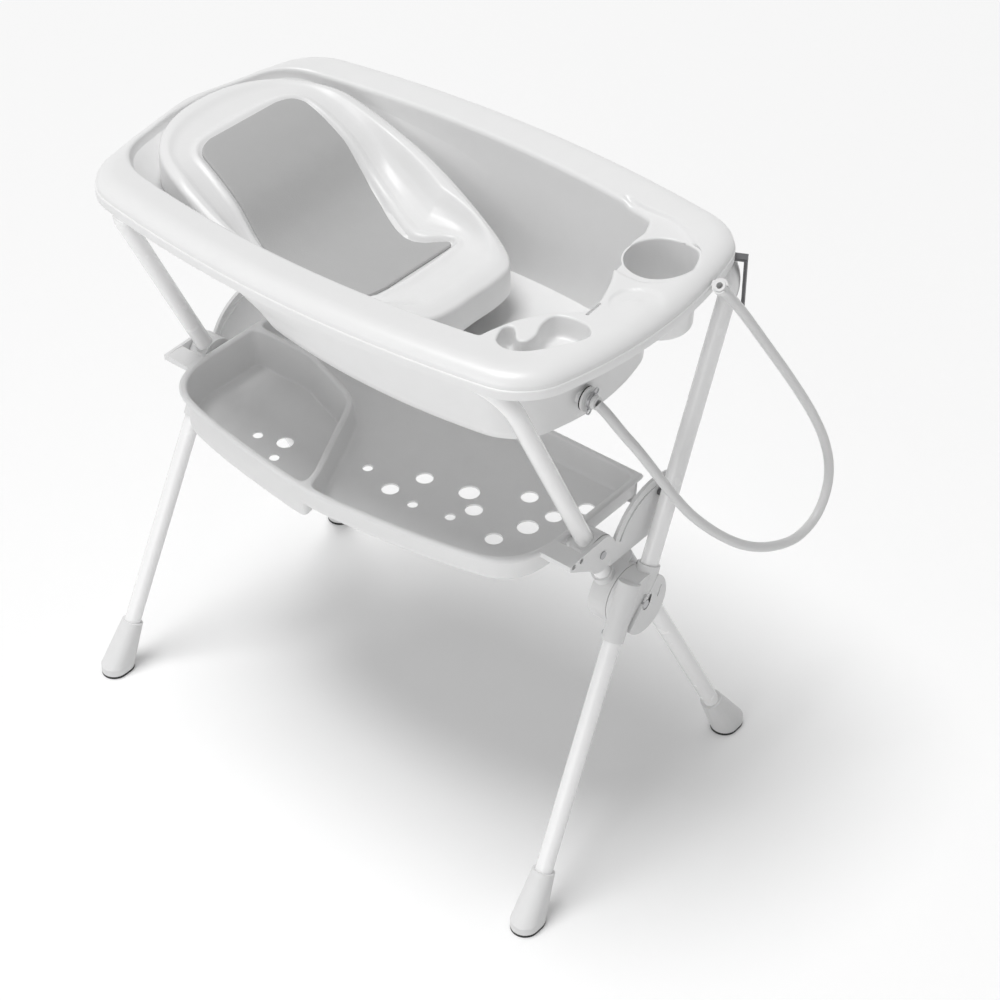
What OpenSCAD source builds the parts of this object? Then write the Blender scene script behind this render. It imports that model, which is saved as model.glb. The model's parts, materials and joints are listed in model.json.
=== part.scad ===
// Baby bathtub on a folding stand.
// X runs along the tub with the foot end at +X, the front is at -Y and the floor is at z = 0.
// The inner frame carries the front cross bar and the back feet, the outer frame the other two.

/* [Stand] */
// Height of the fold pivots above the floor
pivot_h = 422; // [400:1:440]
// Distance from the middle to the inner frame's tubes, at the pivots
inner_x = 356; // [350:1:380]
// Distance between the tubes of the two frames
frame_pitch = 40; // [38:0.5:46]
// Diameter of the tubes
tube_d = 25; // [22:0.5:26]
// Wall of the tubes
tube_wall = 1.5; // [1:0.1:3]
// Lean of the upper tubes from upright, in degrees
upper_lean = 25.6; // [24:0.1:27]
// Lean of the lower tubes from upright, in degrees
lower_lean = 26.6; // [24:0.1:28]
// How far the upper tubes draw in towards the top, in degrees
upper_splay = 1.9; // [1:0.1:2.5]
// How far the inner frame's lower legs spread, in degrees
inner_leg_splay = 4.6; // [2:0.1:5]
// How far the outer frame's lower legs spread, in degrees
outer_leg_splay = 1.9; // [1:0.1:2.5]
// Distance of the upper tube lines from the pivot
upper_offset = 3.5; // [2:0.1:5]
// Distance of the lower tube lines from the pivot
lower_offset = 36; // [35:0.5:40]
// Length from the pivot up the tube to the cross bar's centre line
bar_l = 486; // [470:1:500]
// Radius of the tube bends at the ends of the cross bars
bend_r = 45; // [35:1:60]

/* [Hub] */
// Radius of the hub discs
hub_r = 45; // [43:0.5:48]
// Gap between the two hub halves, filled by a washer
hub_gap = 1; // [0.6:0.1:2]
// Wall of the tube sockets
socket_wall = 3; // [2:0.1:4]
// Length of the tube sockets from the pivot
socket_l = 54; // [50:1:62]
// Diameter of the pivot bolt
bolt_d = 8; // [6:0.5:10]
// Thickness of the outer hub's cap
cap_t = 4.6; // [3:0.1:6]

/* [Feet] */
// Height of the feet, up to the socket's mouth
foot_h = 76; // [60:1:90]
// Length of the sole
sole_l = 54; // [46:1:60]
// Width of the sole
sole_w = 42; // [38:1:48]
// Thickness of the rubber sole
sole_t = 4; // [3:0.5:8]

/* [Tray] */
// Place of the tray's pivot on the inner tubes, from the fold pivot
tray_pivot_l = 115; // [112:1:120]
// Room from the tray's ends to the middle of the inner tubes
tray_end_room = 22.2; // [21:0.2:30]
// How far the tray reaches behind its pivot
tray_back = 149; // [130:1:155]
// How far the tray bulges in front of its pivot
tray_front = 169; // [155:1:172]
// Height of the tray's rim above its pivot
tray_rise = 24; // [20:1:30]
// Depth of the tray's wide compartment
tray_depth = 43; // [38:1:48]
// Depth of the tray's left compartment
left_depth = 66; // [56:1:70]
// Wall of the tray
tray_wall = 3; // [2:0.1:4]
// Thickness of the tray's end arms
arm_t = 5; // [4:0.1:5.5]

/* [Tub] */
// Height of the tub's rim above the cross bars' centre lines
rim_over_bar = 41.2; // [39:0.2:46]
// Length over the rim
rim_l = 836; // [800:1:860]
// Width over the rim
rim_w = 532; // [510:1:550]
// Radius of the rim's corners
rim_corner = 88; // [80:1:100]
// Depth of the rim's skirt
skirt_h = 33; // [26:1:36]
// Wall of the tub
tub_wall = 3.5; // [2.5:0.1:4]
// Length of the tub's mouth
mouth_l = 740; // [720:1:745]
// Width of the tub's mouth
mouth_w = 398; // [370:1:400]
// Depth of the tub, from the rim to the floor of the bowl
bowl_depth = 180; // [170:1:186]
// Length of the bowl's floor
bowl_floor_l = 495; // [460:1:510]
// Width of the bowl's floor
bowl_floor_w = 326; // [290:1:334]
// Inner radius of the cup holder
cup_r = 48; // [38:1:49]
// Depth of the cup holder
cup_depth = 100; // [70:1:110]
// Depth of the soap dish
dish_depth = 32; // [20:1:40]

/* [Bath seat] */
// Length of the seat
seat_l = 503; // [490:1:506]
// Width of the seat
seat_w = 352; // [320:1:354]
// Wall of the seat
seat_wall = 4; // [3:0.1:5]
// Thickness of the seat's pad
pad_t = 5; // [3:0.5:8]

/* [Drain hose] */
// Outer diameter of the hose
hose_d = 14; // [10:0.5:16]

/* [Hidden] */
$fn = 48;

// General
cut = 1;
fit = 0.1;
rest_gap = 0.3;
run_gap = 0.05;
tube_r = tube_d / 2;
socket_r = tube_r + socket_wall;

// Hub
bolt_r = bolt_d / 2;
tube_start = 18;
leg_start = 28;
bend_lap = 2;
bend_swell = 0.2;
hub_back = 10;
hub_face = frame_pitch / 2 - hub_gap / 2;
washer_r = 12;
washer_share = 0.9;
bolt_head_r = 6.5;
bolt_head_t = 4;
nut_r = 7;
nut_t = 5.5;
cap_hole_r = 8;
cap_chord = 7.8;
cap_lean = 45;
cap_slot_w = 3;
cap_slot_l = 18;
cap_slot_t = 1.5;
hub_screw_r = 1.6;
hub_screw_head_r = 3.6;
hub_screw_head_t = 2;
hub_screw_l = 49;

// Feet
foot_wall = 4;
foot_rise = 27;
foot_sole_top = 12;

// Tray
tray_x_gap = 1.4;
knuckle_r = 28;
knuckle_half = tube_r + 3;
sleeve_half_l = 24;
arm_boss_r = 27;
arm_arc_r = 95;
arm_arc_c = [112, -36];
arm_slot_r = 82;
arm_slot_w = 4.5;
arm_slot_first_turn = 85;
arm_slot_last_turn = 155;
arm_floor = -30;
arm_end_y = 133;
arm_end_turn = 24;
arm_web_y = [-70, -38];
arm_web_z = [15.5, 24];
tray_pin_r = 4;
tray_pin_head_r = 6;
tray_pin_head_t = 1.2;
tray_pin_deep = 4.5;
tray_boss_r = 11;
guide_l = 152;
guide_r = 5;
tray_steps = 3;
tray_front_share = [
    [0, 1], [0.3, 0.948], [0.6, 0.86], [0.84, 0.75], [0.93, 0.634], [0.982, 0.451], [1, 0.2], [1, -0.1]
];
tray_lip = 7;
tray_lip_t = 3;
divider_t = 10;
left_share = [
    [-1, -1.1], [-0.04, -1.1], [-0.06, -0.8], [-0.28, 0.08], [-0.33, 0.15], [-0.65, 0.37], [-1, 0.37]
];
drain_small_r = 7.5;
drain_mid_r = 12.5;
drain_large_r = 15;
tray_hole_shares = [
    [-0.594, -0.385, 0], [-0.467, -0.314, 1], [-0.43, -0.52, 0],
    [-0.012, -0.254, 0], [0.155, -0.343, 1], [0.218, -0.06, 1], [0.294, -0.379, 0], [0.467, -0.308, 0],
    [0.424, 0.03, 2], [0.512, -0.118, 1], [0.636, 0.296, 1], [0.794, 0.225, 1], [0.755, -0.012, 2],
    [0.694, -0.296, 1], [0.867, 0.467, 1]
];
arm_screw_r = 2;
arm_screw_head_r = 4;
arm_screw_l = 8;

// Tub
mouth_x = -32;
bowl_floor_x = 77;
mouth_corner = 80;
bowl_corner = 75;
side_turn = 10;
end_turn = 15;
mouth_drop = 11;
mouth_lip = 2;
deck_drop = 4;
cup_in = [-86, 107];
cup_wall = 2.5;
dish_in = [-140, -176];
dish_size = [95, 100];
dish_wall = 2.5;
dish_outline_share = [
    [0.115, 0.09], [0.01, 0.39], [0.22, 0.3], [0.35, 0.24], [0.43, 0.39], [0.3, 0.72], [0.32, 0.93],
    [0.62, 1], [0.87, 0.95], [0.99, 0.8], [0.82, 0.45], [0.57, 0.17], [0.28, 0]
];
pocket_lip = 0.4;
ear_depth = 76;
ear_share = [
    [-1, -0.22], [-0.92, 0.01], [-0.78, 0.06], [-0.6, 0.2], [-0.45, 0.45], [-0.34, 0.75], [-0.25, 1],
    [-0.2, 0.97], [-0.1, 0.92], [-0.03, 0.86], [0.12, 0.71], [0.24, 0.52], [0.35, 0.44], [0.48, 0.29],
    [0.6, 0.21], [0.73, 0.2], [0.85, 0.1], [1, -0.22]
];
saddle_x = 230;
saddle_l = 44;
saddle_in = 30;
saddle_leg = 8;
latch_turn = 27;
latch_w = 14;
latch_t = 4;
latch_off = 17;
latch_in = 1.6;
latch_drop = 82;
clip_screw_r = 1.8;
clip_screw_head_r = 3.5;
clip_screw_head_t = 1.8;

// Drain
drain_y = -45;
drain_rise = 38;
drain_hole_r = 11;
drain_pad_r = 21;
drain_pad_in = 6;
drain_pad_out = 9;
gasket_t = 2;
flange_r = 17;
flange_t = 3;
spigot_r = 9;
spigot_bore_r = 4.5;
nut_wide = 16;
nut_thick = 5;
clip_wire = 1.6;
clip_band = 4;
clip_loop_r = 5;
clip_turns = [-35, 150];
tip_l = 12;
tip_r = 8;
hook_l = 9;
hook_wall = 2.6;
hook_arm_t = 4;
hose_end_in = [3, 118, -23];
hose_end_turn = 40;
hose_sides = 12;
hose_route = [
    [-66, -45, -143], [-52, -41, -156], [-38, -30, -182], [-22, -10, -220], [-7, 14, -267],
    [6, 38, -312], [18, 66, -355], [30, 112, -408], [38, 166, -457], [43, 224, -494],
    [45, 286, -518], [44, 336, -514], [41, 366, -486], [37, 374, -444], [32, 360, -390],
    [27, 326, -324], [21, 272, -240], [15, 208, -148], [9, 158, -76]
];

// Bath seat
seat_head_x = -388;
seat_mid_x = -150;
seat_foot_drop = 100;
seat_rise = 113;
seat_skirt = 44;
seat_crest = 4;
seat_hem_share = 0.025;
seat_gap = 0.8;
seat_ring_share = [1, 0.95, 0.9, 0.84, 0.76, 0.68, 0.6, 0.4, 0.2];
seat_dip_share = [0, 0, 0.04, 0.3, 0.62, 0.6, 1, 1, 1];
seat_crest_share = [0, 0.7, 1, 0, 0, 1, 0, 0, 0];
seat_outline_share = [
    [0, 0], [0.02, 0.36], [0.085, 0.68], [0.175, 0.86], [0.3, 0.97], [0.433, 1], [0.602, 0.93],
    [0.785, 0.78], [0.92, 0.62], [0.984, 0.46], [1, 0.24], [1, 0]
];
seat_edge_share = [[0, 1], [0.175, 0.91], [0.235, 0.885], [0.433, 0.55], [0.602, 0.38],
    [0.785, 0.18], [0.92, 0.05], [1, 0]];
seat_bed_share = [
    [0, 0.97], [0.175, 0.92], [0.26, 0.79], [0.364, 0.54], [0.453, 0.15], [0.53, -0.01], [0.6, -0.06],
    [0.79, -0.09], [1, -0.05]
];
pad_outline_share = [
    [0.171, 0], [0.171, 0.23], [0.173, 0.375], [0.179, 0.466], [0.195, 0.534], [0.219, 0.572], [0.274, 0.58],
    [0.364, 0.572], [0.443, 0.534], [0.523, 0.455], [0.583, 0.369], [0.632, 0.301], [0.672, 0.267],
    [0.702, 0.273], [0.732, 0.324], [0.755, 0.409], [0.775, 0.46], [0.785, 0.449], [0.787, 0.386],
    [0.787, 0.17], [0.787, 0]
];

// Points on the tube lines
function upper_point(l) = [
    inner_x - l * sin(upper_splay),
    -l * cos(upper_splay) * sin(upper_lean) - upper_offset * cos(upper_lean),
    pivot_h + l * cos(upper_splay) * cos(upper_lean) - upper_offset * sin(upper_lean)
];
function lower_point(l, splay) = [
    inner_x + l * sin(splay),
    l * cos(splay) * sin(lower_lean) + lower_offset * cos(lower_lean),
    pivot_h - l * cos(splay) * cos(lower_lean) + lower_offset * sin(lower_lean)
];
function leg_to(z, splay) = (lower_point(0, splay)[2] - z) / (cos(splay) * cos(lower_lean));
bar_y = -bar_l * sin(upper_lean) - upper_offset * cos(upper_lean);
bar_z = pivot_h + bar_l * cos(upper_lean) - upper_offset * sin(upper_lean);
tray_pivot = upper_point(tray_pivot_l);
rim_h = bar_z + rim_over_bar;
tray_half = tray_pivot[0] - tray_end_room;

// Outline of a rounded rectangle with bowed sides, and rings made of it
side_steps = 4;
corner_steps = 7;
end_steps = 8;
function quarter(a, b, r) =
    let(
        det = sin(side_turn) * sin(end_turn) - (1 - cos(side_turn)) * (1 - cos(end_turn)),
        side_arm = ((a - r) * sin(end_turn) - (b - r) * (1 - cos(end_turn))) / det,
        end_arm = ((b - r) * sin(side_turn) - (a - r) * (1 - cos(side_turn))) / det,
        c = [side_arm * sin(side_turn), end_arm * sin(end_turn)]
    )
    concat(
        [for (i = [0:end_steps]) let(t = end_turn * i / end_steps)
            [a - r - end_arm, 0] + (end_arm + r) * [cos(t), sin(t)]],
        [for (i = [1:corner_steps]) let(t = end_turn + (90 - end_turn - side_turn) * i / corner_steps)
            c + r * [cos(t), sin(t)]],
        [for (i = [1:side_steps]) let(t = 90 - side_turn + side_turn * i / side_steps)
            [0, b - r - side_arm] + (side_arm + r) * [cos(t), sin(t)]]
    );
function outline(x, a, b, r) =
    let(q = quarter(a, b, r), n = len(q) - 1)
    [for (p = concat(
        q,
        [for (i = [n - 1:-1:0]) [-q[i][0], q[i][1]]],
        [for (i = [1:n]) [-q[i][0], -q[i][1]]],
        [for (i = [n - 1:-1:1]) [q[i][0], -q[i][1]]])) p + [x, 0]];
function rim_line(inset) = outline(0, rim_l / 2 - inset, rim_w / 2 - inset, rim_corner - inset);
function mouth_line(grow) = outline(mouth_x, mouth_l / 2 + grow, mouth_w / 2 + grow, mouth_corner + grow);
function floor_line(grow) =
    outline(bowl_floor_x, bowl_floor_l / 2 + grow, bowl_floor_w / 2 + grow, bowl_corner + grow);
function blend(p, q, s) = [for (i = [0:len(p) - 1]) p[i] * (1 - s) + q[i] * s];
function at_z(p, z) = [for (v = p) [v[0], v[1], z]];
function middle(ring) = [(min([for (v = ring) v[0]]) + max([for (v = ring) v[0]])) / 2, 0, ring[0][2]];

// A closed solid through rings of equal length, with a middle point at each end
module loft(rings) {
    n = len(rings[0]);
    m = len(rings);
    points = concat([for (r = rings) each r], [middle(rings[0]), middle(rings[m - 1])]);
    walls = [for (k = [0:m - 2]) for (i = [0:n - 1]) let(j = (i + 1) % n)
        each [[k * n + i, (k + 1) * n + i, k * n + j], [k * n + j, (k + 1) * n + i, (k + 1) * n + j]]];
    caps = [for (i = [0:n - 1]) let(j = (i + 1) % n)
        each [[m * n, i, j], [m * n + 1, (m - 1) * n + j, (m - 1) * n + i]]];
    polyhedron(points, concat(walls, caps), convexity = 8);
}

// Placement
module at_end(end) {
    if (end < 0) mirror([1, 0, 0]) children();
    else children();
}
module on_outer() {
    translate([frame_pitch, 0, 0]) mirror([0, 1, 0]) children();
}
module upper_line() {
    translate([inner_x, 0, pivot_h]) rotate([upper_lean, 0, 0]) translate([0, -upper_offset, 0])
        rotate([0, -upper_splay, 0]) children();
}
module lower_line(splay) {
    translate([inner_x, 0, pivot_h]) rotate([lower_lean, 0, 0]) translate([0, lower_offset, 0])
        rotate([0, -splay, 0]) children();
}
module along_x(from, to, r) {
    translate([from, 0, 0]) rotate([0, 90, 0]) cylinder(h = to - from, r = r);
}

// Tubes
bend_rise = bar_l - bend_r * (1 - sin(upper_splay));
function bend_x(x) = x - bend_rise * tan(upper_splay) - bend_r * cos(upper_splay);
module ring(grow) {
    difference() {
        circle(r = tube_r + grow);
        circle(r = tube_r - tube_wall - grow);
    }
}
module pipe(l) {
    linear_extrude(l) ring(0);
}
module frame_bar(x) {
    upright_l = bend_rise / cos(upper_splay) - tube_start;
    translate([0, 0, pivot_h]) rotate([upper_lean, 0, 0]) translate([0, -upper_offset, 0]) {
        for (end = [-1, 1]) at_end(end) {
            translate([x, 0, 0]) rotate([0, -upper_splay, 0]) translate([0, 0, tube_start]) difference() {
                pipe(upright_l);
                translate([0, 0, -tube_start]) hub_screw_hole();
            }
            translate([bend_x(x), 0, bar_l - bend_r]) rotate([90, 0, 0])
                rotate([0, 0, upper_splay - bend_lap])
                rotate_extrude(angle = 90 - upper_splay + 2 * bend_lap) translate([bend_r, 0]) ring(bend_swell);
        }
        translate([-bend_x(x), 0, bar_l]) rotate([0, 90, 0]) pipe(2 * bend_x(x));
    }
}
module leg(splay) {
    lower_line(splay) difference() {
        translate([0, 0, -leg_to(foot_rise, splay)])
            cylinder(h = leg_to(foot_rise, splay) + leg_start, r = tube_r);
        translate([0, 0, -leg_to(foot_rise, splay) - cut])
            cylinder(h = leg_to(foot_rise, splay) + leg_start + 2 * cut, r = tube_r - tube_wall);
        mirror([0, 0, 1]) hub_screw_hole();
    }
}

// Hubs. The two halves face each other, so one faces out (1) and the other in (-1)
module hub_screw_hole() {
    translate([0, 0, hub_screw_l]) along_x(-socket_r - cut, 0, hub_screw_r + fit);
}
module hub_screw() {
    translate([0, 0, hub_screw_l]) {
        along_x(-socket_r - hub_screw_head_t, -socket_r - fit, hub_screw_head_r);
        along_x(-socket_r - fit, -tube_r + tube_wall, hub_screw_r);
    }
}
module hub_half(facing, splay) {
    difference() {
        union() {
            translate([inner_x, 0, pivot_h])
                along_x(facing > 0 ? -hub_back : -hub_face, facing > 0 ? hub_face : hub_back, hub_r);
            upper_line() translate([0, 0, tube_start - socket_wall])
                cylinder(h = socket_l - tube_start + socket_wall, r = socket_r);
            lower_line(splay) translate([0, 0, -socket_l])
                cylinder(h = socket_l + leg_start + socket_wall, r = socket_r);
        }
        upper_line() translate([0, 0, tube_start - fit]) cylinder(h = socket_l, r = tube_r + fit);
        lower_line(splay) translate([0, 0, -2 * socket_l])
            cylinder(h = 2 * socket_l + leg_start + fit, r = tube_r + fit);
        translate([inner_x, 0, pivot_h]) {
            along_x(-2 * hub_face, 2 * hub_face, bolt_r + run_gap);
            mirror([facing < 0 ? 1 : 0, facing < 0 ? 0 : 1, 0])
                along_x(hub_face, hub_face + socket_r, hub_r + socket_l);
        }
        upper_line() hub_screw_hole();
        lower_line(splay) mirror([0, 0, 1]) hub_screw_hole();
    }
}
module hub_screws(splay) {
    upper_line() hub_screw();
    lower_line(splay) mirror([0, 0, 1]) hub_screw();
}
module cap_plate() {
    cap_x = hub_back + rest_gap;
    on_outer() difference() {
        translate([inner_x, 0, pivot_h]) along_x(cap_x, cap_x + cap_t, hub_r);
        translate([inner_x, 0, pivot_h]) {
            along_x(0, 2 * cap_x + cap_t, cap_hole_r);
            rotate([cap_lean, 0, 0]) translate([0, cap_chord, -hub_r - cut])
                cube([2 * cap_x + cap_t, hub_r + cut, 2 * (hub_r + cut)]);
            rotate([upper_lean, 0, 0])
                translate([cap_x + cap_t - cap_slot_t, -hub_r / 2 - cap_slot_w, cap_slot_l / 2])
                cube([cap_slot_t + cut, cap_slot_w, cap_slot_l]);
        }
        upper_line() cylinder(h = socket_l + cut, r = socket_r + fit);
        lower_line(outer_leg_splay) translate([0, 0, -socket_l - cut])
            cylinder(h = socket_l + leg_start + socket_wall + 2 * cut, r = socket_r + fit);
    }
}
module pivot_bolt() {
    head_x = inner_x + frame_pitch + hub_back + rest_gap;
    translate([0, 0, pivot_h]) {
        along_x(inner_x - hub_back - nut_t - rest_gap, head_x, bolt_r);
        along_x(head_x, head_x + bolt_head_t, bolt_head_r);
    }
}
module pivot_nut() {
    translate([inner_x - hub_back - nut_t - rest_gap, 0, pivot_h]) difference() {
        rotate([0, 90, 0]) cylinder(h = nut_t, r = nut_r, $fn = 6);
        along_x(-cut, nut_t + cut, bolt_r + fit / 2);
    }
}
module pivot_washer() {
    translate([inner_x + frame_pitch / 2, 0, pivot_h]) difference() {
        along_x(-washer_share * hub_gap / 2, washer_share * hub_gap / 2, washer_r);
        along_x(-hub_gap, hub_gap, bolt_r + fit / 2);
    }
}

// Feet
module sole_shape(l, w, h) {
    for (s = [-1, 1]) translate([0, s * (l - w) / 2, 0]) cylinder(h = h, r = w / 2, $fn = 32);
    translate([-w / 2, -(l - w) / 2, 0]) cube([w, l - w, h]);
}
module sole_place(splay) {
    p = lower_point(leg_to(0, splay), splay);
    translate([p[0], p[1], 0]) children();
}
module foot(splay) {
    difference() {
        hull() {
            lower_line(splay) translate([0, 0, -leg_to(foot_h, splay) - foot_wall])
                cylinder(h = foot_wall, r = tube_r + foot_wall, $fn = 32);
            sole_place(splay) translate([0, 0, sole_t]) sole_shape(sole_l, sole_w, foot_sole_top);
        }
        lower_line(splay) translate([0, 0, -leg_to(foot_rise, splay) - fit])
            cylinder(h = leg_to(foot_rise, splay), r = tube_r + fit);
    }
}
module sole(splay) {
    sole_place(splay) sole_shape(sole_l, sole_w, sole_t);
}

// Tray
module at_tray() {
    translate([0, tray_pivot[1], tray_pivot[2]]) children();
}
module tray_knuckle() {
    difference() {
        union() {
            at_tray() along_x(tray_pivot[0] - knuckle_half, tray_pivot[0] + knuckle_half, knuckle_r);
            upper_line() translate([0, 0, tray_pivot_l - sleeve_half_l])
                cylinder(h = 2 * sleeve_half_l, r = knuckle_half);
        }
        upper_line() cylinder(h = 2 * tray_pivot_l, r = tube_r + fit);
        at_tray() translate([tray_pivot[0], 0, 0]) for (end = [-1, 1]) at_end(end)
            along_x(tube_r, 2 * knuckle_half, tray_pin_r + fit / 2);
    }
}
module tray_pivot_screw() {
    at_tray() translate([tray_pivot[0], 0, 0]) {
        along_x(tube_r + 2 * fit, knuckle_half + tray_x_gap + arm_t + rest_gap, tray_pin_r);
        along_x(knuckle_half + tray_x_gap + arm_t + rest_gap,
            knuckle_half + tray_x_gap + arm_t + rest_gap + tray_pin_head_t, tray_pin_head_r);
        along_x(tray_half - tray_pin_deep - tray_pivot[0], -tube_r - 2 * fit, tray_pin_r);
    }
}
function tray_outline(inset) =
    let(half = tray_half - inset, front = tray_front - inset, back = tray_back - inset,
        side = [for (q = tray_front_share) [q[0] * half, -q[1] * front]],
        line = smooth(concat([for (i = [len(side) - 1:-1:1]) [-side[i][0], side[i][1]]], side), tray_steps))
    concat(
        [for (i = [tray_steps:len(line) - 2 * tray_steps]) line[i]],
        [[half, back], [-half, back]]
    );
module left_part(grow) {
    offset(delta = grow) polygon([for (q = left_share) [q[0] * tray_half, q[1] * tray_front]]);
}
module tray_dish() {
    floor_z = tray_rise - tray_depth;
    left_z = tray_rise - left_depth;
    end_room = tray_lip + tray_wall;
    difference() {
        at_tray() difference() {
            union() {
                translate([0, 0, floor_z]) linear_extrude(tray_depth) polygon(tray_outline(tray_lip));
                translate([0, 0, left_z]) linear_extrude(left_depth) intersection() {
                    polygon(tray_outline(tray_lip));
                    left_part(tray_wall);
                }
                translate([0, 0, tray_rise - tray_lip_t]) linear_extrude(tray_lip_t)
                    polygon(tray_outline(0));
                for (end = [-1, 1]) at_end(end) {
                    along_x(tray_half - end_room, tray_pivot[0] - knuckle_half - tray_x_gap, tray_boss_r);
                    translate([tray_half - 3 * end_room, arm_web_y[0], arm_web_z[0]])
                        cube([3 * end_room, arm_web_y[1] - arm_web_y[0], arm_web_z[1] - arm_web_z[0]]);
                }
            }
            translate([0, 0, floor_z + tray_wall]) linear_extrude(tray_depth) difference() {
                polygon(tray_outline(end_room));
                left_part(divider_t);
            }
            translate([0, 0, left_z + tray_wall]) linear_extrude(left_depth) intersection() {
                polygon(tray_outline(end_room));
                left_part(0);
            }
            for (h = tray_hole_shares) translate([h[0] * tray_half, h[1] * tray_front, left_z - cut])
                cylinder(h = floor_z - left_z + tray_wall + 2 * cut,
                    r = [drain_small_r, drain_mid_r, drain_large_r][h[2]]);
        }
        at_tray() for (end = [-1, 1]) at_end(end) {
            along_x(tray_half - tray_pin_deep - rest_gap, tray_half + tray_lip, tray_pin_r + fit);
            arm_screws() along_x(-arm_screw_l - rest_gap, cut, arm_screw_r + fit);
        }
    }
}
module arm_screws() {
    for (y = [arm_web_y[0] + arm_screw_l, arm_web_y[1] - arm_screw_l])
        translate([tray_half, y, (arm_web_z[0] + arm_web_z[1]) / 2]) children();
}
module arm_shape() {
    difference() {
        union() {
            circle(r = arm_boss_r);
            polygon([
                [0, arm_boss_r], [arm_web_y[0], arm_web_z[1]], [arm_web_y[0], arm_web_z[0]], [0, -arm_boss_r]
            ]);
            intersection() {
                translate(arm_arc_c) circle(r = arm_arc_r);
                translate([0, arm_floor]) square([2 * arm_arc_r, 2 * arm_arc_r]);
                rotate(-arm_end_turn) translate([-arm_arc_r, -arm_arc_r])
                    square([arm_arc_r + arm_end_y, 3 * arm_arc_r]);
            }
        }
        translate(arm_arc_c) intersection() {
            difference() {
                circle(r = arm_slot_r + arm_slot_w / 2);
                circle(r = arm_slot_r - arm_slot_w / 2);
            }
            polygon([[0, 0], for (k = [0:2]) let(t = arm_slot_first_turn
                + k / 2 * (arm_slot_last_turn - arm_slot_first_turn)) 2 * arm_slot_r * [cos(t), sin(t)]]);
        }
    }
}
module tray_arm() {
    arm_x = tray_pivot[0] + knuckle_half + tray_x_gap;
    difference() {
        at_tray() {
            translate([arm_x, 0, 0]) rotate([90, 0, 90]) linear_extrude(arm_t) arm_shape();
            translate([tray_half + rest_gap / 3, arm_web_y[0], arm_web_z[0]])
                cube([arm_x + arm_t / 2 - tray_half - rest_gap / 3,
                    arm_web_y[1] - arm_web_y[0], arm_web_z[1] - arm_web_z[0]]);
        }
        at_tray() {
            along_x(arm_x - cut, arm_x + arm_t + cut, tray_pin_r + fit);
            arm_screws() {
                along_x(-cut, arm_x + arm_t - tray_half + cut, arm_screw_r + fit);
                along_x(arm_screw_l, arm_x + arm_t - tray_half + cut, arm_screw_head_r + fit);
            }
        }
    }
}
module tray_arm_screw() {
    at_tray() arm_screws() {
        along_x(-arm_screw_l, arm_screw_l, arm_screw_r);
        along_x(arm_screw_l, arm_screw_l + arm_screw_r, arm_screw_head_r);
    }
}
module tray_guide_pin() {
    p = upper_point(guide_l);
    inner_face = tray_pivot[0] + knuckle_half + tray_x_gap + arm_t + rest_gap;
    difference() {
        translate([0, -p[1], p[2]]) along_x(inner_face, p[0] + frame_pitch, guide_r);
        on_outer() upper_line() cylinder(h = 2 * guide_l, r = tube_r + fit / 2);
    }
}

// Tub
cup_place = cup_in + [rim_l / 2, 0];
dish_place = dish_in + [rim_l / 2, 0];
mouth_z = rim_h - mouth_drop;
bowl_z = rim_h - bowl_depth;
ear_x = mouth_x + mouth_l / 2;
function eared(line, grow) = [for (p = line)
    [min(p[0], ear_x - ear_depth * (1 - lookup(2 * p[1] / mouth_w, ear_share)) + grow), p[1]]];
function ear_line(grow) = eared(mouth_line(grow - mouth_lip), grow);
function bowl_ring(s, grow, z) = at_z(blend(ear_line(grow), floor_line(grow), s), z);
function rim_ring(s, inset, z) = at_z(blend(rim_line(inset), mouth_line(0), s), z);
bowl_fall = mouth_z - bowl_z;
skirt_z = rim_h - skirt_h;
bead_z = rim_h - 0.6 * skirt_h;
function tub_outside() = [
    bowl_ring(1, tub_wall - 5 * tub_wall, bowl_z - tub_wall),
    bowl_ring(1, tub_wall - 2 * tub_wall, bowl_z - 0.8 * tub_wall),
    bowl_ring(0.97, tub_wall, bowl_z + tub_wall),
    bowl_ring(0.5, tub_wall, bowl_z + 0.5 * bowl_fall - tub_wall),
    bowl_ring(0.03, tub_wall, mouth_z - tub_wall),
    at_z(mouth_line(1.5 * tub_wall), mouth_z - 0.5 * tub_wall),
    rim_ring(0.8, 0, rim_h - 1.6 * tub_wall),
    rim_ring(0.2, 0, rim_h - 1.6 * tub_wall),
    rim_ring(0.06, tub_wall, rim_h - 3 * tub_wall),
    rim_ring(0, tub_wall, bead_z),
    rim_ring(0, tub_wall, skirt_z),
    rim_ring(0, 0, skirt_z)
];
function rim_top() = [
    rim_ring(0, 0, bead_z),
    rim_ring(0.06, 0, rim_h - 2 * tub_wall),
    rim_ring(0.18, 0, rim_h - 0.6 * tub_wall),
    rim_ring(0.4, 0, rim_h),
    rim_ring(0.8, 0, rim_h - 0.2 * tub_wall),
    rim_ring(0.95, 0, rim_h - tub_wall),
    at_z(mouth_line(0), mouth_z + 0.7 * tub_wall)
];
function bowl_inside(gap) = [
    bowl_ring(0, -gap, mouth_z),
    bowl_ring(0.5, -gap, bowl_z + 0.5 * bowl_fall),
    bowl_ring(0.94, -gap, bowl_z + 0.07 * bowl_fall),
    bowl_ring(1, -2 * tub_wall - gap, bowl_z + 0.3 * tub_wall + gap / 2),
    bowl_ring(1, -5 * tub_wall - gap, bowl_z + gap / 2)
];
function disc(r, n) = [for (i = [0:n - 1]) r * [cos(360 * i / n), sin(360 * i / n)]];
module prism_x(from, to, r) {
    translate([from, 0, 0]) rotate([0, 90, 0]) linear_extrude(to - from) polygon(disc(r, 32));
}
function dish_line() = smooth([for (q = dish_outline_share)
    [dish_place[0] + q[0] * dish_size[0], dish_place[1] + q[1] * dish_size[1]]], 3);
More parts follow.
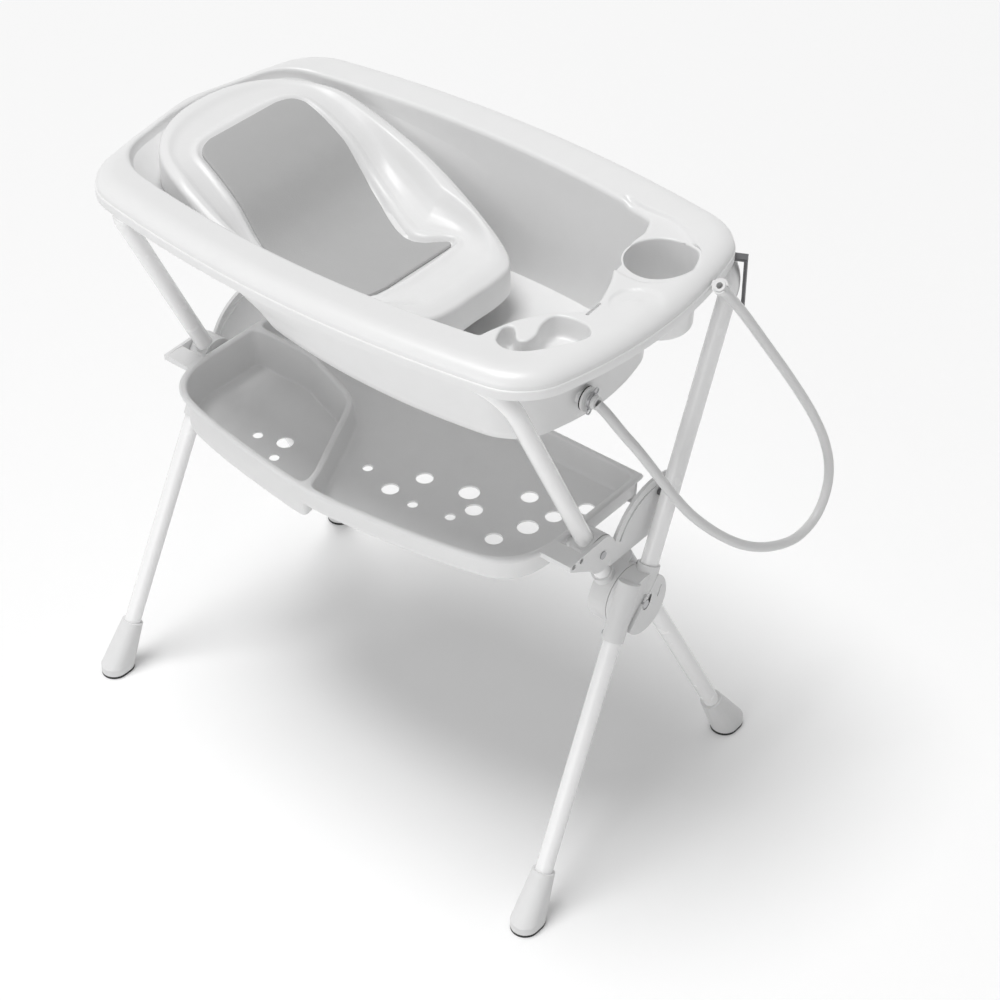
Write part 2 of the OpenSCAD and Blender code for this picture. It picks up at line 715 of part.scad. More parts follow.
// The space above the rim and the mouth, which trims the pockets' walls
module above_rim() {
    top = rim_top();
    loft(concat(
        [bowl_ring(0, 0, mouth_z)],
        [for (k = [len(top) - 1:-1:0]) top[k]],
        [at_z(rim_line(0), rim_h + cup_depth)]
    ));
}
drain_x = bowl_floor_x + bowl_floor_l / 2;
module at_drain() {
    translate([drain_x, drain_y, bowl_z + drain_rise]) children();
}
module basin() {
    deck_z = rim_h - deck_drop;
    difference() {
        union() {
            loft(concat(tub_outside(), rim_top(), bowl_inside(0)));
            difference() {
                union() {
                    translate([cup_place[0], cup_place[1], deck_z - cup_depth - cup_wall])
                        linear_extrude(cup_depth + skirt_h) polygon(disc(cup_r + cup_wall, 48));
                    translate([0, 0, deck_z - dish_depth - dish_wall]) linear_extrude(dish_depth + skirt_h)
                        offset(delta = dish_wall) polygon(dish_line());
                }
                translate([0, 0, pocket_lip]) above_rim();
            }
            at_drain() prism_x(-drain_pad_in, drain_pad_out, drain_pad_r);
        }
        translate([cup_place[0], cup_place[1], deck_z - cup_depth])
            linear_extrude(cup_depth + skirt_h) polygon(disc(cup_r, 48));
        translate([0, 0, deck_z - dish_depth]) linear_extrude(dish_depth + skirt_h) polygon(dish_line());
        at_drain() prism_x(-2 * drain_pad_r, 2 * drain_pad_r, drain_hole_r + fit);
        for (x = [-1, 1], y = [-1, 1]) clip_screw_place(x, y) translate([0, 0, -saddle_in])
            linear_extrude(saddle_in + tub_wall) polygon(disc(clip_screw_r + fit, 16));
    }
}

// Clips under the rim: a saddle over the bar with a long outer leg
module clip_screw_place(x, y) {
    translate([x * saddle_x, y * (-bar_y + tube_r + saddle_leg / 2), rim_h - 2 * tub_wall]) children();
}
module saddle(long) {
    top = rim_h - 1.6 * tub_wall - 2 * rest_gap;
    low = bar_z + 0.5 * tube_r;
    difference() {
        translate([-long / 2, -bar_y - tube_r, low])
            cube([long, 2 * tube_r + saddle_leg, top - low]);
        translate([0, -bar_y, bar_z]) along_x(-long, long, tube_r + rest_gap);
        translate([0, -bar_y + tube_r + saddle_leg / 2, low - cut])
            cylinder(h = top - low + 2 * cut, r = clip_screw_r + fit);
    }
}
module clip_screw() {
    low = bar_z + 0.5 * tube_r;
    translate([saddle_x, -bar_y + tube_r + saddle_leg / 2, low - clip_screw_head_t]) {
        cylinder(h = clip_screw_head_t, r = clip_screw_head_r);
        cylinder(h = rim_h - tub_wall - low, r = clip_screw_r);
    }
}
// Hooks at the back corners, over the bends of the outer frame's tube
module corner_latch() {
    along = bar_l - bend_r + bend_r * sin(latch_turn);
    top = skirt_z - rest_gap;
    translate([bend_x(inner_x + frame_pitch) + bend_r * cos(latch_turn),
        along * sin(upper_lean) + upper_offset * cos(upper_lean), top]) rotate(latch_turn) {
        translate([-latch_t - latch_in, -latch_w / 2, -latch_t])
            cube([latch_t, latch_w, latch_t + bead_z - skirt_z]);
        translate([-latch_t - latch_in, -latch_w / 2, -latch_t])
            cube([latch_in + latch_off + 2 * latch_t, latch_w, latch_t]);
        translate([latch_off, -latch_w / 2, -latch_drop]) cube([latch_t, latch_w, latch_drop]);
    }
}

// Drain and hose
wall_face = drain_pad_out;
rim_end = [rim_l / 2, 0, rim_h];
hose_points = [for (p = hose_route) rim_end + p];
hose_end = rim_end + hose_end_in;
module gasket() {
    at_drain() difference() {
        along_x(wall_face, wall_face + gasket_t, flange_r);
        along_x(0, 2 * wall_face, drain_hole_r + fit);
    }
}
module spigot() {
    face = wall_face + gasket_t;
    at_drain() difference() {
        union() {
            along_x(-drain_pad_in - nut_thick, face, drain_hole_r - fit);
            along_x(face, face + flange_t, flange_r);
            along_x(face, hose_points[0][0] - drain_x, spigot_r);
        }
        along_x(-2 * drain_pad_in - nut_thick, rim_l, spigot_bore_r);
    }
}
module hex_nut() {
    at_drain() difference() {
        translate([-drain_pad_in - nut_thick, 0, 0]) rotate([0, 90, 0])
            cylinder(h = nut_thick - rest_gap / 3, r = nut_wide, $fn = 6);
        along_x(-2 * drain_pad_in - nut_thick, 0, drain_hole_r);
    }
}
module wire_clip() {
    at_drain() translate([wall_face + gasket_t + flange_t + clip_loop_r, 0, 0]) difference() {
        union() {
            along_x(-clip_band / 2, clip_band / 2, spigot_r + clip_wire + fit);
            for (a = clip_turns) rotate([a, 0, 0]) translate([-clip_wire / 2, 0, spigot_r + clip_loop_r])
                along_x(0, clip_wire, clip_loop_r);
        }
        along_x(-clip_band, clip_band, spigot_r + fit);
        for (a = clip_turns) rotate([a, 0, 0]) translate([-clip_band, 0, spigot_r + clip_loop_r])
            along_x(0, 2 * clip_band, clip_loop_r - clip_wire);
    }
}
hose_dir = [0, -sin(hose_end_turn), cos(hose_end_turn)];
hose_path = concat(hose_points, [hose_end]);
function unit(v) = v / norm(v);
function spline(p, i, t) =
    let(
        n = len(p) - 1,
        a = i == 0 ? 2 * p[0] - p[1] : p[i - 1], b = p[i], c = p[i + 1],
        d = i + 2 > n ? 2 * p[n] - p[n - 1] : p[i + 2]
    )
    (2 * b + (c - a) * t + (2 * a - 5 * b + 4 * c - d) * t * t + (3 * b - a - 3 * c + d) * t * t * t) / 2;
hose_steps = 2;
hose_line = concat(
    [for (i = [0:len(hose_path) - 2]) for (k = [0:hose_steps - 1]) spline(hose_path, i, k / hose_steps)],
    [hose_end]);
function tangent(i) =
    i == 0 ? [1, 0, 0]
    : i == len(hose_line) - 1 ? hose_dir
    : unit(hose_line[i + 1] - hose_line[i - 1]);
// The side vectors are carried along the path so that the tube doesn't twist
function carried(v, t) = unit(v - (v * t) * t);
hose_side = [for (i = 0, v = [0, 1, 0]; i < len(hose_line);
    i = i + 1, v = i < len(hose_line) ? carried(v, tangent(i)) : v) v];
module hose() {
    r = hose_d / 2;
    rings = [for (i = [0:len(hose_line) - 1]) let(u = hose_side[i], w = cross(tangent(i), u))
        [for (k = [0:hose_sides - 1]) let(a = 360 * k / hose_sides)
            hose_line[i] + r * (cos(a) * u + sin(a) * w)]];
    n = hose_sides;
    m = len(rings);
    walls = [for (k = [0:m - 2]) for (i = [0:n - 1]) let(j = (i + 1) % n)
        each [[k * n + i, (k + 1) * n + i, k * n + j], [k * n + j, (k + 1) * n + i, (k + 1) * n + j]]];
    caps = [for (i = [1:n - 2]) each
        [[0, i, i + 1], [(m - 1) * n, (m - 1) * n + i + 1, (m - 1) * n + i]]];
    polyhedron([for (p = rings) each p], concat(walls, caps), convexity = 8);
}
module at_hose_end() {
    translate(hose_end) rotate([hose_end_turn, 0, 0]) children();
}
module nozzle() {
    at_hose_end() difference() {
        cylinder(h = tip_l, r = tip_r);
        translate([0, 0, -cut]) cylinder(h = tip_l + 2 * cut, r = spigot_bore_r);
    }
}
module hook() {
    low = (tip_l - hook_l) / 2;
    difference() {
        at_hose_end() difference() {
            union() {
                translate([0, 0, low]) cylinder(h = hook_l, r = tip_r + hook_wall);
                translate([-2 * tip_r - hook_wall, -hook_arm_t, low]) cube([2 * tip_r, 2 * hook_arm_t, hook_l]);
            }
            translate([0, 0, -cut]) cylinder(h = tip_l + 2 * cut, r = tip_r + fit);
            translate([tip_r / 2, -tip_r / 2, -cut]) cube([tip_r, tip_r, tip_l + 2 * cut]);
        }
        translate([0, 0, bowl_z]) linear_extrude(rim_h) polygon(rim_line(-fit));
    }
}

// Bath seat. Rings of one outline follow the edge's height outside and the hollow's inside
function seat_at(share) = [seat_head_x + share[0] * seat_l, share[1] * seat_w / 2];
function smooth(points, steps) =
    let(n = len(points))
    [for (i = [0:n - 1]) for (k = [0:steps - 1]) let(
        t = k / steps, a = points[(i + n - 1) % n], b = points[i],
        c = points[(i + 1) % n], d = points[(i + 2) % n])
        (2 * b + (c - a) * t + (2 * a - 5 * b + 4 * c - d) * t * t
            + (3 * b - a - 3 * c + d) * t * t * t) / 2];
function both_sides(half) =
    let(n = len(half))
    concat([for (i = [n - 1:-1:0]) half[i]], [for (i = [1:n - 2]) [half[i][0], -half[i][1]]]);
function seat_line(share, grow) =
    [for (p = smooth([for (q = both_sides(seat_outline_share)) seat_at(q)], 2))
        [seat_mid_x + (share + grow) * (p[0] - seat_mid_x), (share + grow) * p[1]]];
seat_foot_z = rim_h - seat_foot_drop;
function seat_height(x, table) = seat_foot_z + seat_rise * lookup((x - seat_head_x) / seat_l, table);
function seat_ring(k, drop) =
    [for (p = seat_line(seat_ring_share[k], 0))
        let(edge = seat_height(p[0], seat_edge_share), bed = seat_height(p[0], seat_bed_share))
        [p[0], p[1],
            edge + (min(bed, edge) - edge) * seat_dip_share[k] + seat_crest * seat_crest_share[k] - drop]];
function seat_hem(grow) =
    let(edge = seat_ring(0, 0), wide = seat_line(1, grow))
    [for (i = [0:len(edge) - 1])
        [wide[i][0], wide[i][1], max(edge[i][2] - seat_skirt, bowl_z + rest_gap)]];
module bath_seat_shell() {
    last = len(seat_ring_share) - 1;
    room = bowl_inside(seat_gap);
    intersection() {
        loft(concat(
            [for (k = [last:-1:1]) seat_ring(k, seat_wall)],
            [seat_hem(-seat_hem_share)],
            [seat_hem(0)],
            [for (k = [0:last]) seat_ring(k, 0)]
        ));
        loft(concat(
            [for (k = [len(room) - 1:-1:0]) room[k]],
            [bowl_ring(0, -seat_gap, rim_h + seat_rise)]
        ));
    }
}
module seat_block() {
    loft(concat([at_z(seat_line(1, 0), bowl_z)], [for (k = [0:len(seat_ring_share) - 1]) seat_ring(k, 0)]));
}
module pad_sheet() {
    intersection() {
        difference() {
            translate([0, 0, pad_t + rest_gap]) seat_block();
            translate([0, 0, rest_gap]) seat_block();
        }
        translate([0, 0, bowl_z]) linear_extrude(rim_h)
            polygon(smooth([for (q = both_sides(pad_outline_share)) seat_at(q)], 3));
    }
}

module both_ends() {
    for (end = [-1, 1]) at_end(end) children();
}
module saddles() {
    both_ends() translate([saddle_x, 0, 0]) saddle(saddle_l);
}

// The pieces
module pivot_bolts() { color("silver") both_ends() pivot_bolt(); }
module pivot_nuts() { color("silver") both_ends() pivot_nut(); }
module pivot_washers() { color("gainsboro") both_ends() pivot_washer(); }
module inner_frame_bar() { color("white") frame_bar(inner_x); }
module inner_leg_left() { color("white") at_end(-1) leg(inner_leg_splay); }
module inner_leg_right() { color("white") leg(inner_leg_splay); }
module inner_hub_left() { color("gainsboro") at_end(-1) hub_half(1, inner_leg_splay); }
module inner_hub_right() { color("gainsboro") hub_half(1, inner_leg_splay); }
module back_foot_left() { color("gainsboro") at_end(-1) foot(inner_leg_splay); }
module back_foot_right() { color("gainsboro") foot(inner_leg_splay); }
module back_soles() { color("dimgray") both_ends() sole(inner_leg_splay); }
module inner_hub_screws() { color("silver") both_ends() hub_screws(inner_leg_splay); }
module tray_knuckle_left() { color("gainsboro") at_end(-1) tray_knuckle(); }
module tray_knuckle_right() { color("gainsboro") tray_knuckle(); }
module tray_pivot_screws() { color("silver") both_ends() tray_pivot_screw(); }
module outer_frame_bar() { color("white") mirror([0, 1, 0]) frame_bar(inner_x + frame_pitch); }
module outer_leg_left() { color("white") at_end(-1) on_outer() leg(outer_leg_splay); }
module outer_leg_right() { color("white") on_outer() leg(outer_leg_splay); }
module outer_hub_left() { color("gainsboro") at_end(-1) on_outer() hub_half(-1, outer_leg_splay); }
module outer_hub_right() { color("gainsboro") on_outer() hub_half(-1, outer_leg_splay); }
module hub_cap_left() { color("gainsboro") at_end(-1) cap_plate(); }
module hub_cap_right() { color("gainsboro") cap_plate(); }
module front_foot_left() { color("gainsboro") at_end(-1) on_outer() foot(outer_leg_splay); }
module front_foot_right() { color("gainsboro") on_outer() foot(outer_leg_splay); }
module front_soles() { color("dimgray") both_ends() on_outer() sole(outer_leg_splay); }
module outer_hub_screws() { color("silver") both_ends() on_outer() hub_screws(outer_leg_splay); }
module tray_guide_pins() { color("dimgray") both_ends() tray_guide_pin(); }
module tray_pan() { color("whitesmoke") tray_dish(); }
module tray_arm_left() { color("whitesmoke") at_end(-1) tray_arm(); }
module tray_arm_right() { color("whitesmoke") tray_arm(); }
module tray_arm_screws() { color("silver") both_ends() tray_arm_screw(); }
module tub_shell() { color("white") basin(); }
module bar_clips_front() { color("gainsboro") mirror([0, 1, 0]) saddles(); }
module bar_clips_rear() { color("gainsboro") saddles(); }
module bar_clip_screws() { color("silver") for (side = [0, 1]) mirror([0, side, 0]) both_ends() clip_screw(); }
module corner_latches() { color("dimgray") both_ends() corner_latch(); }
module drain_spigot() { color("gainsboro") spigot(); }
module drain_gasket() { color("dimgray") gasket(); }
module drain_nut() { color("gainsboro") hex_nut(); }
module hose_wire_clip() { color("silver") wire_clip(); }
module drain_hose() { color("whitesmoke") hose(); }
module hose_tip() { color("white") nozzle(); }
module hose_hook() { color("gainsboro") hook(); }
module bath_seat() { color("white") bath_seat_shell(); }
module seat_pad() { color("darkgray") pad_sheet(); }

pivot_bolts();
pivot_nuts();
pivot_washers();
inner_frame_bar();
inner_leg_left();
inner_leg_right();
inner_hub_left();
inner_hub_right();
back_foot_left();
back_foot_right();
back_soles();
inner_hub_screws();
tray_knuckle_left();
tray_knuckle_right();
tray_pivot_screws();
outer_frame_bar();
outer_leg_left();
outer_leg_right();
outer_hub_left();
outer_hub_right();
hub_cap_left();
hub_cap_right();
front_foot_left();
front_foot_right();
front_soles();
outer_hub_screws();
tray_guide_pins();
tray_pan();
tray_arm_left();
tray_arm_right();
tray_arm_screws();
tub_shell();
bar_clips_front();
bar_clips_rear();
bar_clip_screws();
corner_latches();
drain_spigot();
drain_gasket();
drain_nut();
hose_wire_clip();
drain_hose();
hose_tip();
hose_hook();
bath_seat();
seat_pad();
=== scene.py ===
"""Baby bathtub on a folding stand: smooth pieces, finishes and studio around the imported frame."""

import json

import bpy
import numpy as np
from bpy.props import FloatProperty, PointerProperty, StringProperty
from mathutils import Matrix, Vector


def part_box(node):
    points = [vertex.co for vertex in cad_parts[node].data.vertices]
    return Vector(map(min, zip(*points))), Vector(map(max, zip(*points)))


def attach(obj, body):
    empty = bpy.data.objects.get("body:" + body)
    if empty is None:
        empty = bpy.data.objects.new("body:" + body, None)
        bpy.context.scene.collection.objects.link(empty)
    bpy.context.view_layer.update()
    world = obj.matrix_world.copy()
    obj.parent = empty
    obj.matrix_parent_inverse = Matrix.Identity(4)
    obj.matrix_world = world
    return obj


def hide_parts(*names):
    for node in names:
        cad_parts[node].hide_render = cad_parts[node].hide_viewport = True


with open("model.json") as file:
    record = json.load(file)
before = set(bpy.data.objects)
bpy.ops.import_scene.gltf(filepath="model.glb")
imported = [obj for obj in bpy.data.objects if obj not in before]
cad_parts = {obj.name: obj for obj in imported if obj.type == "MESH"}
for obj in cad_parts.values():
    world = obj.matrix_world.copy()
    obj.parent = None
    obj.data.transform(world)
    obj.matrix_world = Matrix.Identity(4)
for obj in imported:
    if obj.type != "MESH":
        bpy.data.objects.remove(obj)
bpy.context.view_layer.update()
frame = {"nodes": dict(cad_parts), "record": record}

bl_info = {
    "name": "Baby bathtub with stand",
    "version": (1, 0, 0),
    "blender": (4, 5, 0),
    "location": "View3D > Sidebar > Bathtub",
    "description": "Makes the smooth visible pieces of a baby bathtub with a folding stand",
    "category": "Object",
}

MM = 0.001
WALL = 3.5
MOUTH_DROP = 11
TUB_LOW, TUB_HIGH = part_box("tub_shell")
TRAY_LOW, TRAY_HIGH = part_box("tray_pan")

# Plan points in millimetres, from the middle of the tub; the foot end is at +x and the front at -y
MOUTH_X = -32
FLOOR_X = 77
EAR_Y = [-199, -183, -155, -120, -89, -67, -50, -40, -20, -6, 24, 48, 70, 95, 120, 145, 169, 199]
EAR_X = [245, 262, 267, 277, 296, 318, 336, 335, 332, 327, 315, 301, 298, 284, 277, 277, 267, 245]
LEDGE = [
    (215, 192), (239, 189), (262, 188), (285, 188), (307, 184), (330, 173), (351, 157), (370, 137), (383, 112),
    (386, 92), (378, 66), (360, 48), (335, 42), (300, 48), (262, 80), (240, 140),
]
DISH = [
    (291, -171), (282, -156), (279, -142), (286, -135), (295, -141), (303, -150), (312, -153), (319, -146),
    (319, -130), (312, -113), (309, -96), (313, -83), (328, -76), (348, -75), (363, -81), (373, -94),
    (370, -110), (358, -131), (344, -150), (329, -166), (311, -176),
]
CUP = (332, 107)
SLIT = (339.5, -43)
DIP = (372, 0)

# Tray: shares of its half length and its front reach, from the line it turns about
TRAY_Y, TRAY_FRONT, TRAY_BACK = -52.8, 169, 149
DIVIDER_T = 10
FLANGE_Y = (-122.8, -90.8)
ARM_SCREW_Y = (-114.8, -98.8)
TRAY_CURVE = [
    (0, 1), (0.15, 0.985), (0.3, 0.948), (0.45, 0.908), (0.6, 0.86), (0.72, 0.812), (0.84, 0.75), (0.89, 0.7),
    (0.93, 0.634), (0.96, 0.55), (0.982, 0.451), (0.995, 0.32), (1, 0.2),
]
DIVIDER = [(-20, -188), (-92, -39), (-109, -27), (-214, 10), (-320, 10)]
TRAY_HOLES = [
    (-196, -118, 7.5), (-154, -106, 12.5), (-142, -141, 7.5), (-4, -96, 7.5), (51, -111, 12.5), (72, -63, 12.5),
    (97, -117, 7.5), (154, -105, 7.5), (140, -48, 15), (169, -73, 12.5), (210, -3, 12.5), (262, -15, 12.5),
    (249, -55, 15), (229, -103, 12.5), (286, 26, 12.5),
]

# Bath seat: shares of its length and width, and heights over its foot
SEAT_X, SEAT_MID, SEAT_L, SEAT_W = -388, -150, 503, 352
SEAT_Z, SEAT_RISE = 800, 113
SEAT_OUTLINE = [
    (0, 0), (0.005, 0.19), (0.02, 0.36), (0.048, 0.535), (0.085, 0.68), (0.128, 0.785), (0.175, 0.86),
    (0.235, 0.925), (0.3, 0.97), (0.433, 1), (0.602, 0.93), (0.785, 0.78), (0.92, 0.62), (0.984, 0.46),
    (1, 0.24), (1, 0),
]
SEAT_EDGE = [
    (0, 1), (0.175, 0.91), (0.235, 0.885), (0.433, 0.55), (0.602, 0.38), (0.785, 0.18), (0.92, 0.05), (1, 0),
]
SEAT_BED = [
    (0, 0.97), (0.175, 0.92), (0.26, 0.79), (0.364, 0.54), (0.453, 0.15), (0.53, -0.01), (0.6, -0.06),
    (0.79, -0.09), (1, -0.05),
]
MAT_BACK = [
    (-302, 0), (-302, 40), (-301, 66), (-298, 82), (-290, 94), (-278, 101), (-250, 102), (-205, 101), (-165, 94),
    (-125, 80), (-95, 65), (-70, 53), (-50, 47), (-35, 48), (-20, 57), (-8, 72), (2, 81), (7, 79), (8, 68),
    (8, 30), (8, 0),
]
MAT_FRONT = [
    (-302, 0), (-302, -50), (-300, -74), (-294, -87), (-284, -96), (-257, -101), (-205, -109), (-160, -118),
    (-110, -122), (-60, -113), (-15, -100), (0, -92), (7, -82), (8, -66), (8, -30), (8, 0),
]

# The hose's route, from the drain spigot round to the hook at the rim
HOSE = [
    (352, -45, 757), (366, -41, 744), (380, -30, 718), (396, -10, 680), (411, 14, 633),
    (424, 38, 588), (436, 66, 545), (448, 112, 492), (456, 166, 443), (461, 224, 406),
    (463, 286, 382), (462, 336, 386), (459, 366, 414), (455, 374, 456), (450, 360, 510),
    (445, 326, 576), (439, 272, 660), (433, 208, 752), (427, 158, 824), (421, 118, 877),
]


# Shapes

def smooth_step(x, start, end):
    """0 before start, 1 after end, and t*t*(3-2t) between them."""
    t = np.clip((x - start) / (end - start), 0, 1)
    return t * t * (3 - 2 * t)


def spline(points, steps, closed):
    """Curve through all points: on each span the cubic whose slope at a point is half the chord of its
    neighbours."""
    p = np.asarray(points, float)
    if closed:
        a, b, c, d = np.roll(p, 1, 0), p, np.roll(p, -1, 0), np.roll(p, -2, 0)
    else:
        full = np.vstack([2 * p[0] - p[1], p, 2 * p[-1] - p[-2]])
        a, b, c, d = full[:-3], full[1:-2], full[2:-1], full[3:]
    t = (np.arange(steps) / steps)[None, :, None]
    a, b, c, d = (v[:, None, :] for v in (a, b, c, d))
    out = (2 * b + (c - a) * t + (2 * a - 5 * b + 4 * c - d) * t ** 2 + (3 * b - a - 3 * c + d) * t ** 3) / 2
    out = out.reshape(-1, p.shape[1])
    return out if closed else np.vstack([out, p[-1]])


def even(line, count):
    """A closed plan line at count points, the same distance apart along it."""
    loop = np.vstack([line, line[:1]])
    run = np.concatenate([[0], np.cumsum(np.linalg.norm(np.diff(loop, axis=0), axis=1))])
    at = np.linspace(0, run[-1], count, endpoint=False)
    return np.stack([np.interp(at, run, loop[:, k]) for k in range(2)], 1)


def outward(line):
    """Unit normals of a closed plan line that runs anticlockwise: its tangent turned by -90 degrees."""
    run = np.roll(line, -1, 0) - np.roll(line, 1, 0)
    run /= np.linalg.norm(run, axis=1, keepdims=True)
    return np.stack([run[:, 1], -run[:, 0]], 1)


def away(points, line):
    """Distance of each point from a closed plan line: the least over its segments."""
    a, b = line, np.roll(line, -1, 0)
    out = []
    for row in points:
        ab = (b - a)[None]
        ap = row[:, None] - a[None]
        t = np.clip((ap * ab).sum(2) / (ab * ab).sum(2), 0, 1)
        out.append(np.linalg.norm(ap - t[..., None] * ab, axis=2).min(1))
    return np.array(out)


def inside(points, line):
    """True where a point lies in a closed plan line: a ray along +x crosses it an odd number of times."""
    a, b = line[None], np.roll(line, -1, 0)[None]
    out = []
    for row in points:
        x, y = row[:, :1], row[:, 1:2]
        low, high = a[..., 1] > y, b[..., 1] > y
        with np.errstate(divide="ignore", invalid="ignore"):
            cross = a[..., 0] + (y - a[..., 1]) / (b[..., 1] - a[..., 1]) * (b[..., 0] - a[..., 0])
        out.append(((low != high) & (x < cross)).sum(1) % 2 == 1)
    return np.array(out)


def signed(points, line):
    """Distance from a closed plan line, positive inside it."""
    return away(points, line) * np.where(inside(points, line), 1, -1)


END, CORNER, SIDE = 44, 22, 34


def rounded(x0, a, b, r, side_turn=np.radians(10), end_turn=np.radians(15)):
    """Closed plan line of a rounded rectangle whose ends and sides are arcs too: each quarter is an end arc
    that turns by end_turn, a corner arc of radius r and a side arc that turns by side_turn."""
    det = np.sin(side_turn) * np.sin(end_turn) - (1 - np.cos(side_turn)) * (1 - np.cos(end_turn))
    side_arm = ((a - r) * np.sin(end_turn) - (b - r) * (1 - np.cos(end_turn))) / det
    end_arm = ((b - r) * np.sin(side_turn) - (a - r) * (1 - np.cos(side_turn))) / det
    def arc(x, y, radius, t):
        return np.stack([x + radius * np.cos(t), y + radius * np.sin(t)], 1)
    quarter = np.vstack([
        arc(a - r - end_arm, 0, end_arm + r, np.linspace(0, end_turn, END + 1)),
        arc(side_arm * np.sin(side_turn), end_arm * np.sin(end_turn), r,
            np.linspace(end_turn, np.pi / 2 - side_turn, CORNER + 1)[1:]),
        arc(0, b - r - side_arm, side_arm + r, np.linspace(np.pi / 2 - side_turn, np.pi / 2, SIDE + 1)[1:]),
    ])
    return np.vstack([
        quarter, quarter[-2::-1] * [-1, 1], quarter[1:] * [-1, -1], quarter[-2:0:-1] * [1, -1]]) + [x0, 0]


def bell(x):
    """Weights that add up to 1, from exp(-x*x/2) at each x."""
    weights = np.exp(-0.5 * x ** 2)
    return weights / weights.sum()


def smoothed(values, reach, width):
    """Values under a running mean whose bell is width values wide and cut off at reach."""
    kernel = bell(np.arange(-reach, reach + 1) / width)
    return np.convolve(np.pad(values, reach, mode="edge"), kernel, mode="valid")


def soften(points, radius, count):
    """A closed plan line whose corners are rounded by a running mean along it, at even distances."""
    line = even(np.asarray(points, float), count)
    step = np.linalg.norm(line[1] - line[0])
    k = int(3 * radius / step)
    kernel = bell(np.arange(-k, k + 1) * step / radius)
    return np.stack([np.convolve(np.concatenate([v[-k:], v, v[:k]]), kernel, mode="valid") for v in line.T], 1)


def flat(line, z):
    """A plan line at one height, or at one height a point."""
    return np.column_stack([line, np.broadcast_to(z, len(line))])


def blend(a, b, t):
    """a * (1 - t) + b * t."""
    return a * (1 - t) + b * t


def add_mesh(name, points, faces, flat_shade=False):
    """Mesh object from points in millimetres, at the origin, with its place in its mesh."""
    mesh = bpy.data.meshes.new(name)
    mesh.from_pydata((np.asarray(points) * MM).tolist(), [], faces)
    mesh.update()
    piece = bpy.data.objects.new(name, mesh)
    bpy.context.scene.collection.objects.link(piece)
    mesh.polygons.foreach_set("use_smooth", [not flat_shade] * len(mesh.polygons))
    return piece


def ring_quads(m, n):
    """Quads between m rings of n points."""
    i = np.arange(n)
    j = (i + 1) % n
    low = np.arange(m - 1)[:, None] * n
    return np.stack([low + i, low + j, low + n + j, low + n + i], -1).reshape(-1, 4).tolist()


def loft(name, rings):
    """Closed surface through rings of equal length that run anticlockwise from the lowest outside to the last
    inside, shut by a middle point at each end."""
    rings = np.asarray(rings, float)
    m, n = rings.shape[:2]
    points = np.vstack([rings.reshape(-1, 3), rings[0].mean(0), rings[-1].mean(0)])
    i = np.arange(n)
    j = (i + 1) % n
    first = np.stack([np.full(n, m * n), j, i], -1)
    last = np.stack([np.full(n, m * n + 1), (m - 1) * n + i, (m - 1) * n + j], -1)
    return add_mesh(name, points, ring_quads(m, n) + first.tolist() + last.tolist())


def stack(name, rings):
    """Closed solid through rings that run anticlockwise from the lowest up, shut by a flat face at each end,
    whatever the shape of the rings."""
    rings = np.asarray(rings, float)
    m, n = rings.shape[:2]
    caps = [list(range(n))[::-1], list(range((m - 1) * n, m * n))]
    return add_mesh(name, rings.reshape(-1, 3), ring_quads(m, n) + caps)


def rods(name, ends, count=32):
    """Straight round rods in one mesh: each has two end points and a radius."""
    points, faces = [], []
    a = np.linspace(0, 2 * np.pi, count, endpoint=False)
    for start, end, radius in ends:
        start, end = np.asarray(start, float), np.asarray(end, float)
        t = (end - start) / np.linalg.norm(end - start)
        u = np.cross([0, 1, 0] if abs(t[1]) < 0.5 else [0, 0, 1], t)
        ring = radius * (np.outer(np.cos(a), u) + np.outer(np.sin(a), np.cross(t, u)))
        k = len(points)
        points += list(start + ring) + list(end + ring)
        faces += (np.array(ring_quads(2, count)) + k).tolist()
        faces += [list(range(k, k + count))[::-1], list(range(k + count, k + 2 * count))]
    return add_mesh(name, points, faces)


def boolean(piece, other, operation):
    """Applies an exact union or difference with another closed piece, which is then removed."""
    cutter = piece.modifiers.new("cut", "BOOLEAN")
    cutter.object, cutter.operation, cutter.solver = other, operation, "EXACT"
    apply_modifiers(piece)
    bpy.data.objects.remove(other)


def apply_modifiers(piece):
    """Replaces a piece's mesh by its evaluated one."""
    done = bpy.data.meshes.new_from_object(piece.evaluated_get(bpy.context.evaluated_depsgraph_get()))
    piece.modifiers.clear()
    piece.data = done


def shade(piece, degrees):
    """Smooth shading, with edges sharper than the given angle kept crisp."""
    piece.data.polygons.foreach_set("use_smooth", [True] * len(piece.data.polygons))
    piece.data.set_sharp_from_angle(angle=np.radians(degrees))
    return piece


def finish_piece(piece, material, body, slot, *nodes):
    """Gives a new piece its finish and its body, and lets it stand for CAD nodes."""
    piece.data.materials.clear()
    piece.data.materials.append(material)
    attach(piece, body)
    if nodes:
        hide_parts(*nodes)


# Materials

# Size of the slow patches in metres, and the surfaces' index of refraction
PATCH, PLASTIC_IOR = 0.03, 1.5


def linear(colour):
    """sRGB hex to linear: c / 12.92 up to 0.04045, and ((c + 0.055) / 1.055) ** 2.4 above."""
    c = np.array([int(colour[k:k + 2], 16) for k in (1, 3, 5)]) / 255
    c = np.where(c <= 0.04045, c / 12.92, ((c + 0.055) / 1.055) ** 2.4)
    return (*(float(v) for v in c), 1.0)


def add_node(tree, kind, inputs=(), **settings):
    """Adds a node, with its settings, and its inputs as values or as links from other nodes' outputs."""
    new = tree.nodes.new(kind)
    for key, value in settings.items():
        setattr(new, key, value)
    for key, value in dict(inputs).items():
        if isinstance(value, bpy.types.NodeSocket):
            tree.links.new(value, new.inputs[key])
        else:
            new.inputs[key].default_value = value
    return new


